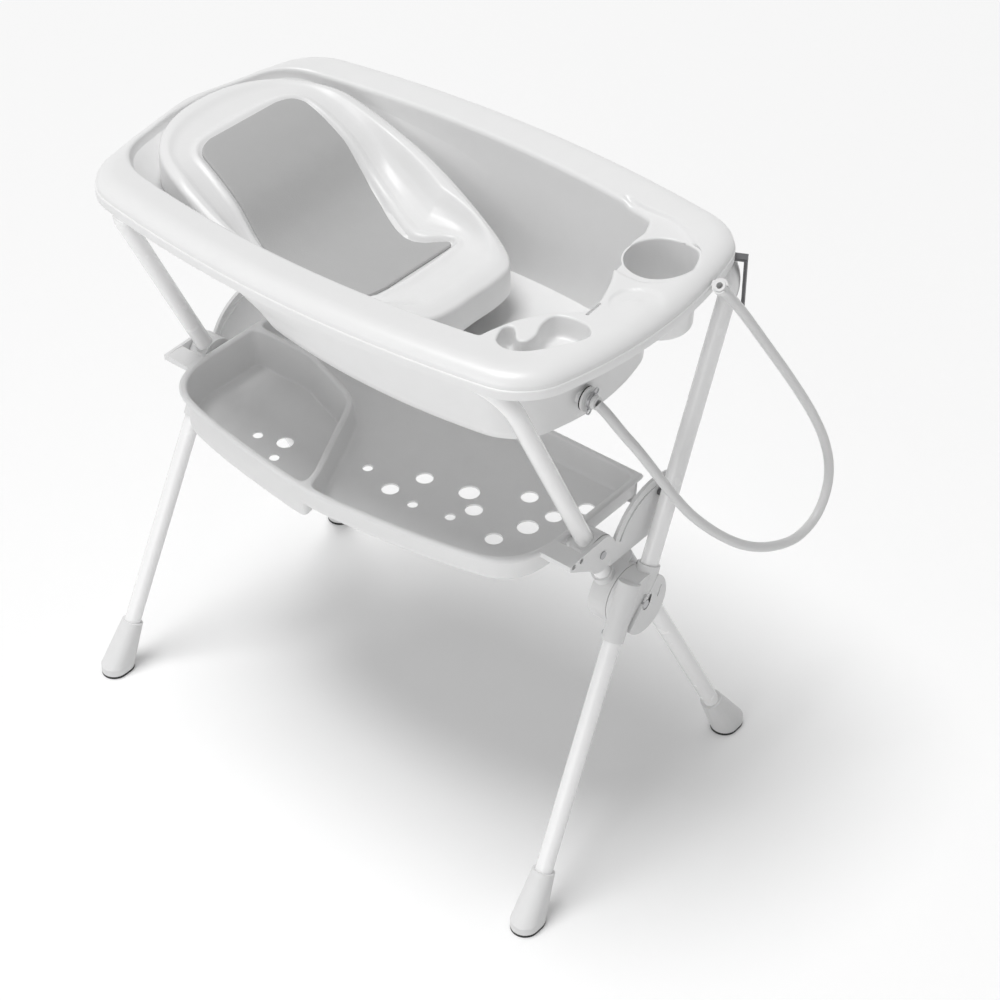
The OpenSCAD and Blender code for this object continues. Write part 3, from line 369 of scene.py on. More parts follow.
def material(name, colour, roughness, grain, grain_depth, tint, metal=0.0, coat=0.0):
    """Surface with a fine grain in its bump, and slow patches that vary its colour and roughness a little.
    grain is the size of the grain, in metres."""
    new = bpy.data.materials.new(name)
    new.use_nodes = True
    tree = new.node_tree
    tree.nodes.clear()
    place = add_node(tree, "ShaderNodeTexCoord").outputs["Object"]
    slow = add_node(tree, "ShaderNodeTexNoise", {"Vector": place, "Scale": 1 / PATCH, "Detail": 3.0})
    fine = add_node(tree, "ShaderNodeTexNoise", {"Vector": place, "Scale": 1 / grain, "Detail": 2.0})
    base = linear(colour)
    dark = (*(v * (1 - tint) for v in base[:3]), 1.0)
    ramp = add_node(tree, "ShaderNodeValToRGB", {"Fac": slow.outputs["Fac"]})
    ramp.color_ramp.elements[0].position, ramp.color_ramp.elements[0].color = 0.3, dark
    ramp.color_ramp.elements[1].position, ramp.color_ramp.elements[1].color = 0.7, base
    rough = add_node(tree, "ShaderNodeMapRange", {
        "Value": slow.outputs["Fac"], "To Min": roughness * 0.85, "To Max": roughness * 1.15})
    bump = add_node(tree, "ShaderNodeBump", {"Height": fine.outputs["Fac"], "Strength": 0.35,
                                             "Distance": grain_depth})
    shader = add_node(tree, "ShaderNodeBsdfPrincipled", {
        "Base Color": ramp.outputs["Color"], "Roughness": rough.outputs["Result"], "Metallic": metal,
        "IOR": PLASTIC_IOR, "Coat Weight": coat, "Coat Roughness": 0.08, "Normal": bump.outputs["Normal"]})
    add_node(tree, "ShaderNodeOutputMaterial", {"Surface": shader.outputs["BSDF"]})
    return new


FINISHES = {}


def make_finishes(c):
    """All finishes, from the colours in the sidebar."""
    FINISHES.update({
        # Polypropylene, injection moulded and polished in the tool: a soft gloss with broad highlights
        "tub_white": material("Moulded polypropylene, tub", c.tub, 0.3, 0.004, 0.0001, tint=0.012),
        "seat_white": material("Moulded polypropylene, seat", c.seat, 0.34, 0.004, 0.0001, tint=0.012),
        # Polypropylene from an etched tool: satin, and slightly greyer
        "tray_white": material("Etched polypropylene, tray", c.tray, 0.42, 0.002, 0.00015, tint=0.015),
        # Glass-filled nylon hubs and boots: satin with a fine texture
        "light_grey": material("Textured nylon, hubs and boots", c.fittings, 0.5, 0.0015, 0.00025, tint=0.02),
        # Rear hooks and pins: the same nylon in dark grey. On the hooks this grey is partly their own dark
        # plastic and partly painted shade, the deep shade under the rim's corner.
        "dark_plastic": material("Textured nylon, dark with painted shade", c.hooks, 0.5, 0.0015, 0.00025, tint=0.08),
        # Powder-coated steel tube: bright gloss with a faint orange peel of about 3 mm
        "white_tube": material("Powder-coated steel tube", c.tubes, 0.26, 0.003, 0.00012, tint=0.01, coat=0.3),
        # Zinc-plated steel screws and spring wire
        "steel": material("Zinc-plated steel", "#B8B8BA", 0.3, 0.001, 0.0001, tint=0.12, metal=1.0),
        # Moulded rubber soles: dull, nearly black
        "sole_rubber": material("Moulded rubber sole", c.soles, 0.75, 0.001, 0.0003, tint=0.2),
        # Closed-cell EVA foam mat: matt, with a pebbled skin of about 2 mm, drawn deep enough to show
        "pad_grey": material("EVA foam mat", c.pad, 0.72, 0.0022, 0.0005, tint=0.03),
        # Soft PVC hose: satin, slightly milky
        "hose_white": material("Soft PVC hose", c.hose, 0.38, 0.003, 0.0001, tint=0.02),
    })


# Tub

def tub_lines(size):
    """Plan lines of the rim, the mouth with its ears, and the floor of the bowl, each inset or grown."""
    def rim(inset):
        return rounded(0, size.length / 2 - inset, size.width / 2 - inset, max(88 - inset, 20))
    ys = np.linspace(EAR_Y[0], EAR_Y[-1], 400)
    xs = smoothed(np.interp(ys, EAR_Y, EAR_X), 12, 4)
    def mouth(grow):
        line = rounded(MOUTH_X, size.mouth_length / 2 + grow, size.mouth_width / 2 + grow, 80 + grow)
        ear = np.interp(line[:, 1], ys, xs) + grow
        soft = 3.0
        return np.column_stack([
            -soft * np.logaddexp(-line[:, 0] / soft, -ear / soft), line[:, 1]])
    def floor(grow):
        return rounded(FLOOR_X, size.floor_length / 2 + grow, size.floor_width / 2 + grow, max(75 + grow, 12))
    return rim, mouth, floor


def deck_height(points, rim, top, reach=26):
    """Height of the tub's top: a quarter of an ellipse up from the rim's edge over the given reach, a slow
    fall inwards, a lower ledge round the cup and a shallow dip whose back edge is the crispest."""
    deep = np.maximum(signed(points, rim), 0)
    t = np.clip((deep - 1.8) / reach, 0, 1)
    z = top - 17 * (1 - np.sqrt(np.clip(1 - (1 - t) ** 2, 0, 1))) - 4.5 * smooth_step(deep, 24, 78)
    ledge = spline(LEDGE, 4, True)
    z -= 5 * smooth_step(signed(points, ledge), -1.5, 4.5)
    off = points - DIP
    far = np.linalg.norm(off, axis=-1)
    lean = np.clip(0.45 + 0.6 * (off @ [-0.55, 0.83]) / np.maximum(far, 1), 0, 1)
    return z - 3.2 * smooth_step(-far, -35, -30) * lean * smooth_step(far, 2, 14)


def make_tub(size):
    """The tub is one closed surface through rings: under the rim, over it to the mouth, and down the bowl.
    The cup and the dish are united with it below and cut out of it above."""
    rim, mouth, floor = tub_lines(size)
    top, base, wall = size.top, size.floor, size.wall
    edge, shoulder, lip = rim(0), rim(1.9), mouth(7)
    width = np.linalg.norm(lip - shoulder, axis=1)
    reach = np.minimum(26, 0.6 * width)
    crest = blend(shoulder, lip, (reach / width)[:, None])
    def deck(line, drop=0.0):
        return flat(line, deck_height(line[None], edge, top, reach)[0] - drop)
    rings = []
    fall = top - MOUTH_DROP - base
    below = [(1, -60, 0), (1, -22, 0), (0.995, -8, 1.6), (0.97, 0, 8), (0.92, 0, 18), (0.84, 0, 34),
             (0.7, 0, 58), (0.5, 0, 0.55 * fall), (0.3, 0, 0.75 * fall), (0.12, 0, 0.93 * fall)]
    for s, grow, rise in below:
        rings.append(flat(blend(mouth(wall), floor(wall + grow), s), base - wall + rise))
    for out in (wall, wall + 3):
        rings.append(deck(mouth(out), wall + 7 - out))
    for f in (0.06, 0.2, 0.4, 0.6, 0.8, 0.92, 1):
        rings.append(deck(blend(mouth(wall + 3), rim(6.5), f), wall))
    rings += [flat(rim(inset), top - drop) for inset, drop in (
        (4.6, 16), (3.8, 24), (3.4, 31.5), (3.0, 32.6), (1.2, 33), (0.3, 32.7), (0, 31.8), (0, 22), (0.1, 20.6),
        (0.7, 19.8), (1.7, 19.4), (1.9, 18.6))]
    rings += [deck(blend(shoulder, crest, 1 - np.cos(t))) for t in np.radians(range(0, 91, 10))]
    rings += [deck(blend(crest, lip, f)) for f in np.linspace(0.03, 1, 44)]
    lips = ((5, 0.4), (3.2, 1.1), (1.7, 2.3), (0.6, 4.1), (0, 6.5))
    rings += [deck(mouth(grow), drop) for grow, drop in lips]
    top_z = rings[-1][:, 2]
    inside_wall = [(0.02, 0.96), (0.06, 0.9), (0.14, 0.8), (0.25, 0.68), (0.37, 0.555), (0.5, 0.43),
                   (0.62, 0.31), (0.73, 0.215), (0.82, 0.145), (0.89, 0.093), (0.94, 0.054), (0.975, 0.026),
                   (1, 0.01)]
    rings += [flat(blend(mouth(0), floor(0), s), base + (top_z - base) * h) for s, h in inside_wall]
    rings += [flat(floor(grow), base + rise) for grow, rise in ((-12, 0.5), (-28, 0.1), (-60, 0))]
    return loft("tub", rings)


def pocket(name, line, top, depth, draft, lip, grow=0.0, shut=None, fillet=7.0, close=stack):
    """Closed solid of a pocket: the plan line flares out at its lip, draws in by draft on its way down and
    turns into its floor through a fillet. top is one height, or one a point."""
    normal = outward(line)
    low = np.mean(top) - depth
    rows = []
    def row(inset, z):
        rows.append(flat(line - normal * inset, z))
    for t in np.radians([8, 26, 44, 62, 80]):
        row(draft - grow + fillet * (1 - np.sin(t)), low - grow + fillet * (1 - np.cos(t)))
    row(draft * 0.5 - grow, low + depth * 0.5)
    if shut is not None:
        row(-grow, shut)
        return close(name, rows)
    row(0, top - lip)
    for t in np.radians([25, 50, 75, 90]):
        row(-lip * (1 - np.cos(t)), top - lip + lip * np.sin(t))
    row(-lip * 1.3, np.mean(top) + 12)
    return close(name, rows)


# Tray

def tray_line(inset, half):
    """Plan line of the tray, anticlockwise from its front left, inset by the given distance."""
    side = np.array(TRAY_CURVE) * [half - inset, inset - TRAY_FRONT] + [0, TRAY_Y]
    front = np.vstack([side[:0:-1] * [-1, 1], side])
    back = TRAY_Y + TRAY_BACK - inset
    return np.vstack([front, [half - inset, back], [inset - half, back]])


def compartments(half, inset):
    """Plan lines of the two compartments, which the slanted divider keeps apart."""
    line = tray_line(inset, half)
    front = line[:-2]
    wall = np.array(DIVIDER, float)
    run = np.gradient(wall, axis=0)
    run /= np.linalg.norm(run, axis=1, keepdims=True)
    far = wall + DIVIDER_T * np.stack([run[:, 1], -run[:, 0]], 1)
    left = np.vstack([
        front[front[:, 0] < -30], [(-16, front[:, 1].min())], wall[:-1], [(inset - half, wall[-1, 1])]])
    right = np.vstack([
        [(-4, front[:, 1].min())], front[front[:, 0] > 10], line[-2:],
        [(inset - half, far[-1, 1])], far[-2::-1]])
    return soften(left, 9, 260), soften(right, 9, 360)


def make_tray(size):
    """Pan with a rolled rim: one rounded body with the deep left compartment's box united below it, the end
    bosses and flanges united with it, and both compartments and all holes cut out."""
    half, top = size.tray_length / 2, size.tray_top
    body = soften(tray_line(0, half), 3, 420)
    normal = outward(body)
    low = top - size.tray_depth
    rows = [(19, 0), (14, 0.4), (11.2, 2.4), (9.6, 6), (8.8, 11), (7.6, size.tray_depth - 9.5),
            (6.6, size.tray_depth - 8.2), (4.6, size.tray_depth - 7.6), (1.8, size.tray_depth - 7.4),
            (0.6, size.tray_depth - 6.8), (0, size.tray_depth - 5.4), (0, size.tray_depth - 3.6),
            (0.7, size.tray_depth - 1.8), (2, size.tray_depth - 0.5), (3.8, size.tray_depth)]
    tray = stack("tray", [flat(body - normal * inset, low + rise) for inset, rise in rows])
    left, right = compartments(half, 10)
    boolean(tray, pocket("left box", left, top, size.tray_left_depth - 3, 2, 0, 1.9, top - 14, 5), "UNION")
    for end in (-1, 1):
        boolean(tray, rods("boss", [((end * (half - 9), TRAY_Y, size.tray_axis),
                                     (end * (half + 5.3), TRAY_Y, size.tray_axis), 11)], 48), "UNION")
        y0, y1 = FLANGE_Y
        box = np.array([(half - 30, y0), (half, y0), (half, y1), (half - 30, y1)]) * [end, 1]
        boolean(tray, stack("flange", [flat(box[::end], z) for z in (top - 8.5, top - 0.1)]), "UNION")
    boolean(tray, pocket("left", left, top, size.tray_left_depth - 3, 2, 4.5, fillet=3.5), "DIFFERENCE")
    boolean(tray, pocket("right", right, top, size.tray_depth - 3, 3, 4.5, fillet=6), "DIFFERENCE")
    cuts = [((x, y, low - 40), (x, y, low + 8), r) for x, y, r in TRAY_HOLES]
    for end in (-1, 1):
        cuts.append(((end * (half - 4.8), TRAY_Y, size.tray_axis),
                     (end * (half + 9), TRAY_Y, size.tray_axis), 4.2))
        cuts += [((end * (half - 8.4), y, top - 4.25), (end * (half + 1), y, top - 4.25), 2.15)
                 for y in ARM_SCREW_Y]
    boolean(tray, rods("holes", cuts), "DIFFERENCE")
    return tray


# Bath seat

def seat_point(share):
    """Plan points from shares of the seat's length and half width."""
    share = np.asarray(share, float)
    return np.column_stack([SEAT_X + share[:, 0] * SEAT_L, share[:, 1] * SEAT_W / 2])


def both_sides(half):
    """A closed line from its half at +y, which runs from the head end to the foot end."""
    half = np.asarray(half, float)
    return np.vstack([half[::-1], half[1:-1] * [1, -1]])


def seat_height(x, table):
    """Height from a table of shares, rounded by a running mean."""
    grid = np.linspace(SEAT_X - 60, SEAT_X + SEAT_L + 60, 400)
    z = np.interp((grid - SEAT_X) / SEAT_L, *np.transpose(table))
    return SEAT_Z + SEAT_RISE * np.interp(x, grid, smoothed(z, 24, 8))


SEAT_Q = [0, 0.04, 0.1, 0.16, 0.24, 0.36, 0.48, 0.58, 0.66, 0.74, 0.84, 1]
SEAT_DIP = [1, 0.99, 0.88, 0.8, 0.78, 0.74, 0.62, 0.42, 0.2, 0.04, 0, 0]
SEAT_CREST = [0, 0.2, 1.1, 0.7, 0, 0, 0, 0, 0.2, 0.7, 0.5, -0.3]


def seat_surface(plan):
    """Height of the seat's top: the edge's height, less the hollow's depth times a profile of the share of
    the way from the mat to the edge, plus a low crest along the edge and along the mat."""
    grid = plan.reshape((-1,) + plan.shape[-2:])
    past = np.maximum(-signed(grid, spline(MAT_BACK[::-1] + MAT_FRONT[1:-1], 4, True)), 0)
    left = np.maximum(signed(grid, even(spline(both_sides(seat_point(SEAT_OUTLINE)), 6, True), 200)), 0)
    q = (past / np.maximum(past + left, 1e-6)).reshape(plan.shape[:-1])
    fine = np.linspace(0, 1, 201)
    def curve(values):
        return np.interp(q, fine, smoothed(np.interp(fine, SEAT_Q, values), 8, 3.0))
    edge, bed = seat_height(plan[..., 0], SEAT_EDGE), seat_height(plan[..., 0], SEAT_BED)
    low = np.minimum(bed, edge)
    return edge + (low - edge) * curve(SEAT_DIP) + 4 * curve(SEAT_CREST)


def keep_in_bowl(rings, size, gap):
    """Draws points that lie outside the bowl's inner face back to it, along the line to its middle: the
    reach of the bowl at an angle and height is read from the same rings as the tub's."""
    _, mouth, floor = tub_lines(size)
    mouth_z = size.top - MOUTH_DROP
    heights = np.linspace(size.floor, mouth_z, 15)
    share_at = [(0.01, 1), (0.054, 0.94), (0.145, 0.82), (0.31, 0.62), (0.555, 0.37), (0.8, 0.14), (1, 0)]
    centre = np.array([-60.0, 0.0])
    angles = np.linspace(-np.pi, np.pi, 361)
    reach = []
    for z in heights:
        s = np.interp((z - size.floor) / (mouth_z - size.floor), *np.transpose(share_at))
        line = blend(mouth(0), floor(0), s) - centre
        a, r = np.arctan2(line[:, 1], line[:, 0]), np.linalg.norm(line, axis=1)
        order = np.argsort(a)
        reach.append(np.interp(angles, a[order], r[order], period=2 * np.pi))
    reach = np.array(reach) - gap
    flat_rings = rings.reshape(-1, 3)
    off = flat_rings[:, :2] - centre
    a, r = np.arctan2(off[:, 1], off[:, 0]), np.linalg.norm(off, axis=1)
    row = np.clip((flat_rings[:, 2] - heights[0]) / (heights[1] - heights[0]), 0, len(heights) - 1.001)
    col = (a + np.pi) / (2 * np.pi) * 360
    i, j = row.astype(int), np.minimum(col.astype(int), 359)
    u, v = row - i, col - j
    limit = (reach[i, j] * (1 - u) * (1 - v) + reach[i + 1, j] * u * (1 - v)
             + reach[i, j + 1] * (1 - u) * v + reach[i + 1, j + 1] * u * v)
    scale = np.minimum(1, limit / np.maximum(r, 1e-6))
    flat_rings[:, :2] = centre + off * scale[:, None]
    return rings


def make_seat(size):
    """Shell through rings of one outline: the underside, the rolled edge with its skirt, and the hollow."""
    outline = even(spline(both_sides(seat_point(SEAT_OUTLINE)), 6, True), 300)
    middle = np.array([SEAT_MID, 0.0])
    normal = outward(outline)
    wall, skirt = 4.0, 44.0
    def ring(share, drop=0.0):
        plan = middle + (outline - middle) * share
        return flat(plan, seat_surface(plan) - drop)
    edge = ring(1.0)
    hem = np.maximum(edge[:, 2] - skirt, size.floor + 0.6)
    def side(inset, t):
        """Point of the skirt, t of the way down it."""
        return flat(outline - normal * inset, edge[:, 2] - 7 + (hem - edge[:, 2] + 7) * t)
    rings = [ring(s, wall) for s in (0.08, 0.3, 0.5, 0.62, 0.7, 0.8, 0.88, 0.93)]
    rings += [side(5.5, 0.05), side(4.6, 0.5), side(4.2, 0.97), side(3.2, 1.0), side(1.0, 1.0), side(0.2, 0.97),
              side(0.6, 0.5), side(1.0, 0.02)]
    for t in np.radians([20, 40, 60, 80]):
        rings.append(flat(outline - normal * (1 + 8 * (1 - np.cos(t))), edge[:, 2] - 7 + 8.2 * np.sin(t)))
    rings += [ring(s) for s in np.linspace(0.945, 0.05, 74)]
    return loft("bath_seat_shell", keep_in_bowl(np.array(rings), size, 1.2))


def make_pad(thick):
    """Mat that follows the seat's bed: a grid of stations along it and shares across it, under and over, with
    a rounded edge all round."""
    x0, x1 = MAT_BACK[0][0], MAT_BACK[-1][0]
    edge = [0, 0.5, 1.2, 2.2, 3.6]
    xs = np.concatenate([x0 + np.array(edge), np.linspace(x0 + 6, x1 - 6, 110), x1 - np.array(edge[::-1])])
    grid = np.linspace(x0, x1, 300)
    def reach(side):
        x, y = np.transpose(sorted(side[1:-1]))
        return np.interp(xs, grid, smoothed(np.interp(grid, x, np.abs(y)), 6, 2.5))[:, None]
    half_across = np.concatenate([[1, 0.993, 0.983, 0.968, 0.945], np.linspace(0.9, 0, 16)])
    across = np.concatenate([half_across, -half_across[-2::-1]])
    wide = np.where(across > 0, reach(MAT_BACK), reach(MAT_FRONT))
    plan = np.stack([np.broadcast_to(xs[:, None], wide.shape), wide * across], -1)
    inwards = np.minimum(np.minimum(xs - x0, x1 - xs)[:, None], wide * (1 - np.abs(across)))
    lift = np.sqrt(np.clip(1 - (1 - np.clip(inwards / 2.6, 0, 1)) ** 2, 0, 1))
    bed = seat_surface(plan)
    over = np.concatenate([plan, (bed + 1.2 + (thick - 1.2) * lift)[..., None]], -1)
    under = np.concatenate([plan, (bed + 1.2 - 0.85 * lift)[..., None]], -1)
    m, n = plan.shape[:2]
    i, j = np.meshgrid(np.arange(m - 1), np.arange(n - 1), indexing="ij")
    k = (i * n + j).ravel()
    upper = np.stack([k, k + 1, k + n + 1, k + n], 1)
    ids = np.arange(m * n).reshape(m, n)
    lower_ids = ids + m * n
    lower_ids[0], lower_ids[-1], lower_ids[:, 0], lower_ids[:, -1] = ids[0], ids[-1], ids[:, 0], ids[:, -1]
    lower = lower_ids.ravel()[upper[:, ::-1]]
    points = np.vstack([over.reshape(-1, 3), under.reshape(-1, 3)])
    used, where = np.unique(np.concatenate([upper, lower]), return_inverse=True)
    return add_mesh("seat_mat", points[used], where.reshape(-1, 4)[:, ::-1].tolist())


# Settings, operators and panel

class BATHTUB_sizes(bpy.types.PropertyGroup):
    """Sizes of the tub, in millimetres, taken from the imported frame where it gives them."""
    length: FloatProperty(name="Tub length", description="Length over the rim, mm",
                          default=round((TUB_HIGH[0] - TUB_LOW[0]) / MM, 2))
    width: FloatProperty(name="Tub width", description="Width over the rim, mm",
                         default=round((TUB_HIGH[1] - TUB_LOW[1]) / MM, 2))
    top: FloatProperty(name="Rim height", description="Height of the rim above the floor, mm",
                       default=round(TUB_HIGH[2] / MM, 2))
    floor: FloatProperty(name="Bowl floor", description="Height of the bowl's floor, mm",
                         default=round(TUB_LOW[2] / MM + WALL, 2))
    wall: FloatProperty(name="Wall", description="Thickness of the moulded wall, mm", default=WALL)
    mouth_length: FloatProperty(name="Mouth length", description="Length of the mouth, mm", default=740)
    mouth_width: FloatProperty(name="Mouth width", description="Width of the mouth, mm", default=398)
    floor_length: FloatProperty(name="Floor length", description="Length of the bowl's floor, mm", default=495)
    floor_width: FloatProperty(name="Floor width", description="Width of the bowl's floor, mm", default=326)
    cup_radius: FloatProperty(name="Cup radius", description="Inner radius of the cup holder, mm", default=48)
    cup_depth: FloatProperty(name="Cup depth", description="Depth of the cup holder, mm", default=98)
    dish_depth: FloatProperty(name="Dish depth", description="Depth of the soap dish, mm", default=31)
    pad: FloatProperty(name="Mat thickness", description="Thickness of the seat's mat, mm", default=5)
    hose: FloatProperty(name="Hose diameter", description="Outer diameter of the hose, mm", default=14)
    tray_length: FloatProperty(name="Tray length", description="Length of the tray's pan, mm", default=659.98)
    tray_top: FloatProperty(name="Tray height", description="Height of the tray's rim above the floor, mm",
                            default=round(TRAY_HIGH[2] / MM, 2))
    tray_axis: FloatProperty(name="Tray axis", description="Height of the line the tray turns about, mm",
                             default=524.14)
    tray_depth: FloatProperty(name="Tray depth", description="Depth of the wide compartment, mm", default=43)
    tray_left_depth: FloatProperty(name="Left depth", description="Depth of the left compartment, mm",
                                   default=round((TRAY_HIGH[2] - TRAY_LOW[2]) / MM, 2))


def colour_property(name, description, default):
    """A text property that holds an sRGB hex colour."""
    return StringProperty(name=name, description=description, default=default)


class BATHTUB_colours(bpy.types.PropertyGroup):
    """Base colours, as sRGB hex."""
    tub: colour_property("Tub", "Colour of the tub", "#EBEBEB")
    seat: colour_property("Seat", "Colour of the bath seat", "#EBEBEB")
    tray: colour_property("Tray", "Colour of the tray", "#E6E6E6")
    fittings: colour_property("Fittings", "Colour of hubs, boots and clips", "#E0E0E0")
    # The rear hooks' dark grey is partly their own dark plastic and partly painted shade, the deep shade under
    # the rim's corner.
    hooks: colour_property("Dark fittings and painted shade", "Colour of the rear hooks and pins", "#5C5C5E")
    tubes: colour_property("Tubes", "Colour of the stand's tubes", "#F4F4F4")
    soles: colour_property("Soles", "Colour of the rubber soles", "#2E2E2E")
    pad: colour_property("Mat", "Colour of the seat's mat", "#B6B6B6")
    hose: colour_property("Hose", "Colour of the drain hose", "#DADADA")


def settings():
    """The sizes and colours of the current scene."""
    return bpy.context.scene.bathtub_sizes, bpy.context.scene.bathtub_colours


class BATHTUB_OT_stage(bpy.types.Operator):
    """Camera, floor, lights and world"""
    bl_idname = "bathtub.stage"
    bl_label = "Studio"

    def execute(self, context):
        make_stage()
        return {"FINISHED"}


class BATHTUB_OT_hose(bpy.types.Operator):
    """Drain hose from the spigot to the hook at the rim"""
    bl_idname = "bathtub.hose"
    bl_label = "Drain hose"

    def execute(self, context):
        size, _ = settings()
        line = spline(HOSE, 8, False) * MM
        curve = bpy.data.curves.new("drain_hose_tube", "CURVE")
        curve.dimensions = "3D"
        curve.bevel_depth = size.hose / 2 * MM
        curve.bevel_resolution = 6
        curve.use_fill_caps = True
        run = curve.splines.new("POLY")
        run.points.add(len(line) - 1)
        run.points.foreach_set("co", np.column_stack([line, np.ones(len(line))]).ravel())
        run.use_smooth = True
        hose = bpy.data.objects.new("drain_hose_tube", curve)
        context.scene.collection.objects.link(hose)
        finish_piece(hose, FINISHES["hose_white"], "tub", "hose_white", "drain_hose")
        tuple(float(v) for v in line[0])
        return {"FINISHED"}


class BATHTUB_OT_tub(bpy.types.Operator):
    """Tub with its rim, cup holder and soap dish"""
    bl_idname = "bathtub.tub"
    bl_label = "Tub"

    def execute(self, context):
        size, _ = settings()
        rim, _, _ = tub_lines(size)
        tub = make_tub(size)
        angle = np.linspace(0, 2 * np.pi, 72, endpoint=False)
        cup = np.column_stack([np.cos(angle), np.sin(angle)]) * size.cup_radius + CUP
        dish = even(spline(DISH, 6, True), 150)
        if np.sum(dish[:, 0] * np.roll(dish[:, 1], -1) - dish[:, 1] * np.roll(dish[:, 0], -1)) < 0:
            dish = dish[::-1]
        slit = np.array([(-2.2, -16), (2.2, -16), (2.2, 16), (-2.2, 16)]) @ [[1, 0.1], [-0.1, 1]] + SLIT
        slit = soften(slit, 1, 80)
        pockets = ((cup, size.cup_depth, 5, loft), (dish, size.dish_depth, 2, stack))
        tops = [deck_height(line[None], rim(0), size.top)[0] for line, _, _, _ in pockets]
        for (line, depth, draft, close), top in zip(pockets, tops):
            boolean(tub, pocket("outer", line, top, depth, draft, 0, 2.6, top - 2.2, close=close), "UNION")
        for (line, depth, draft, close), top in zip(pockets, tops):
            boolean(tub, pocket("inner", line, top, depth, draft, 3.0, close=close), "DIFFERENCE")
        boolean(tub, stack("slit", [flat(slit, size.top - drop) for drop in (16, -4)]), "DIFFERENCE")
        shade(tub, 50)
        finish_piece(tub, FINISHES["tub_white"], "tub", "tub_white", "tub_shell")
        return {"FINISHED"}


class BATHTUB_OT_tray(bpy.types.Operator):
    """Tray with its two compartments and drain holes"""
    bl_idname = "bathtub.tray"
    bl_label = "Tray"

    def execute(self, context):
        tray = shade(make_tray(settings()[0]), 45)
        tray.name = "tray_pan_smooth"
        finish_piece(tray, FINISHES["tray_white"], "tray", "tray_white", "tray_pan")
        return {"FINISHED"}


class BATHTUB_OT_seat(bpy.types.Operator):
    """Bath seat shell and its mat"""
    bl_idname = "bathtub.seat"
    bl_label = "Bath seat"

    def execute(self, context):
        size, _ = settings()
        seat = shade(make_seat(size), 60)
        finish_piece(seat, FINISHES["seat_white"], "seat", "seat_white", "bath_seat")
        mat = shade(make_pad(size.pad), 60)
        finish_piece(mat, FINISHES["pad_grey"], "seat", "pad_grey", "seat_pad")
        return {"FINISHED"}


class BATHTUB_OT_finishes(bpy.types.Operator):
    """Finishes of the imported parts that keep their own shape"""
    bl_idname = "bathtub.finishes"
    bl_label = "Finishes"

    def execute(self, context):
        for part in frame["record"]["subparts"]:
            piece = frame["nodes"][part["node"]]
            for slot in piece.material_slots:
                slot.material = FINISHES[part["material_slot"]]
        return {"FINISHED"}


class BATHTUB_PT_panel(bpy.types.Panel):
    """Sizes, colours and pieces of the bathtub"""
    bl_idname = "BATHTUB_PT_panel"
    bl_label = "Baby bathtub"
    bl_space_type = "VIEW_3D"
    bl_region_type = "UI"
    bl_category = "Bathtub"

    def draw(self, context):
        layout = self.layout
        for group in (context.scene.bathtub_sizes, context.scene.bathtub_colours):
            for name in group.__annotations__:
                layout.prop(group, name)
        for operator in OPERATORS:
            layout.operator(operator.bl_idname)


LENS, SENSOR = 86.63, 36
CAMERA, TARGET, LAMP_TARGET = (1.8089, -2.0102, 2.5738), (0.2083, -0.0647, 0.54), (0, 0, 0.6)
FLOOR_HALF, FLOOR_DROP = 12.0, 0.3
# Name, kind, place, angle or size, and strength
LAMPS = (("key", "SUN", (-0.45, -0.4, 3.4), 0.5, 1.85), ("fill", "AREA", (0.4, -3.0, 1.1), 2.0, 20))


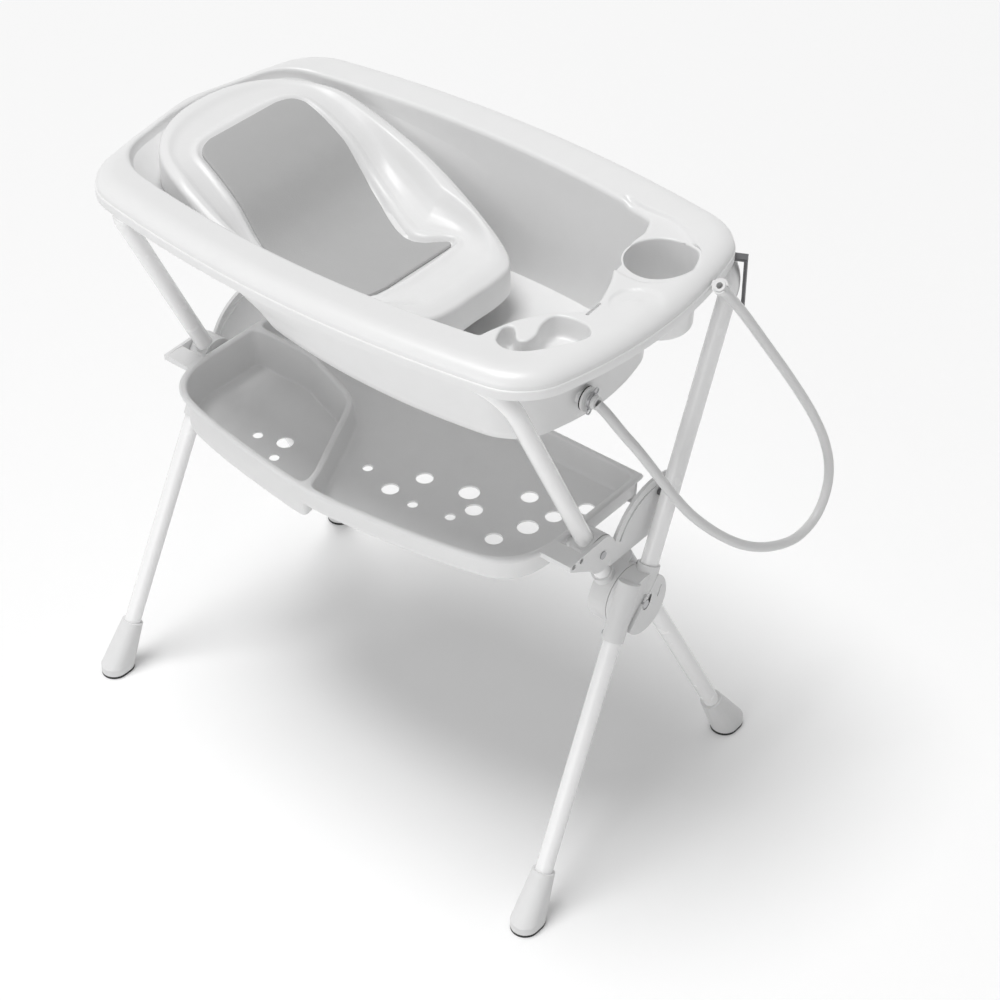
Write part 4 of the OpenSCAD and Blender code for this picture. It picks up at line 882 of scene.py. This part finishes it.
def make_stage():
    """Pale floor with the object's shadow, soft light from above and from the front left, and the camera."""
    scene = bpy.context.scene
    camera = bpy.data.objects.new("camera", bpy.data.cameras.new("camera"))
    scene.collection.objects.link(camera)
    camera.data.lens, camera.data.sensor_width = LENS, SENSOR
    camera.location = CAMERA
    camera.rotation_euler = look(CAMERA, TARGET)
    scene.camera = camera
    corners = np.array([(-1, -1, 0), (1, -1, 0), (1, 1, 0), (-1, 1, 0)]) * FLOOR_HALF
    floor = add_mesh("floor", corners / MM - [0, 0, FLOOR_DROP], [[0, 1, 2, 3]], True)
    floor.data.materials.append(floor_material())
    for name, kind, where, size, power in LAMPS:
        light = bpy.data.lights.new(name, kind)
        light.energy = power
        if kind == "SUN":
            light.angle = size
        else:
            light.size = size
        lamp = bpy.data.objects.new(name, light)
        lamp.location = where
        lamp.rotation_euler = look(where, LAMP_TARGET)
        scene.collection.objects.link(lamp)
    world = bpy.data.worlds.new("studio")
    scene.world = world
    world.use_nodes = True
    tree = world.node_tree
    tree.nodes.clear()
    path = add_node(tree, "ShaderNodeLightPath")
    seen = add_node(tree, "ShaderNodeMath", {0: path.outputs["Is Camera Ray"], 1: path.outputs["Is Glossy Ray"]},
                    operation="MAXIMUM")
    shown = add_node(tree, "ShaderNodeMath", {0: seen.outputs[0], 1: path.outputs["Is Transmission Ray"]},
                     operation="MAXIMUM")
    dim = add_node(tree, "ShaderNodeBackground", {"Color": (1, 1, 1, 1), "Strength": 0.36})
    bright = add_node(tree, "ShaderNodeBackground", {"Color": (1, 1, 1, 1), "Strength": 1.0})
    mix = add_node(tree, "ShaderNodeMixShader", {0: shown.outputs[0], 1: dim.outputs[0], 2: bright.outputs[0]})
    add_node(tree, "ShaderNodeOutputWorld", {"Surface": mix.outputs[0]})
    scene.view_settings.view_transform = "Standard"


def floor_material():
    """White floor: a diffuse white, with a little of its own light for the camera, so that it ends white."""
    new = bpy.data.materials.new("White studio floor")
    new.use_nodes = True
    tree = new.node_tree
    tree.nodes.clear()
    path = add_node(tree, "ShaderNodeLightPath")
    matt = add_node(tree, "ShaderNodeBsdfDiffuse", {"Color": (0.93, 0.93, 0.93, 1)})
    lift = add_node(tree, "ShaderNodeMath", {0: path.outputs["Is Camera Ray"], 1: 0.05}, operation="MULTIPLY")
    glow = add_node(tree, "ShaderNodeEmission", {"Color": (1, 1, 1, 1), "Strength": lift.outputs[0]})
    both = add_node(tree, "ShaderNodeAddShader", {0: matt.outputs[0], 1: glow.outputs[0]})
    add_node(tree, "ShaderNodeOutputMaterial", {"Surface": both.outputs[0]})
    return new


def look(place, target):
    """Turn of a camera or lamp at place whose -z points at target and whose y is up."""
    return Vector(np.subtract(target, place)).to_track_quat("-Z", "Y").to_euler()


OPERATORS = (BATHTUB_OT_stage, BATHTUB_OT_hose, BATHTUB_OT_tub, BATHTUB_OT_tray, BATHTUB_OT_seat,
             BATHTUB_OT_finishes)
CLASSES = (BATHTUB_sizes, BATHTUB_colours, *OPERATORS, BATHTUB_PT_panel)


def register():
    for cls in CLASSES:
        bpy.utils.register_class(cls)
    bpy.types.Scene.bathtub_sizes = PointerProperty(type=BATHTUB_sizes)
    bpy.types.Scene.bathtub_colours = PointerProperty(type=BATHTUB_colours)


def unregister():
    del bpy.types.Scene.bathtub_sizes
    del bpy.types.Scene.bathtub_colours
    for cls in reversed(CLASSES):
        bpy.utils.unregister_class(cls)


def main():
    """Makes everything in order."""
    register()
    make_finishes(bpy.context.scene.bathtub_colours)
    for operator in OPERATORS:
        group, name = operator.bl_idname.split(".")
        getattr(getattr(bpy.ops, group), name)()


if __name__ == "__main__":
    main()
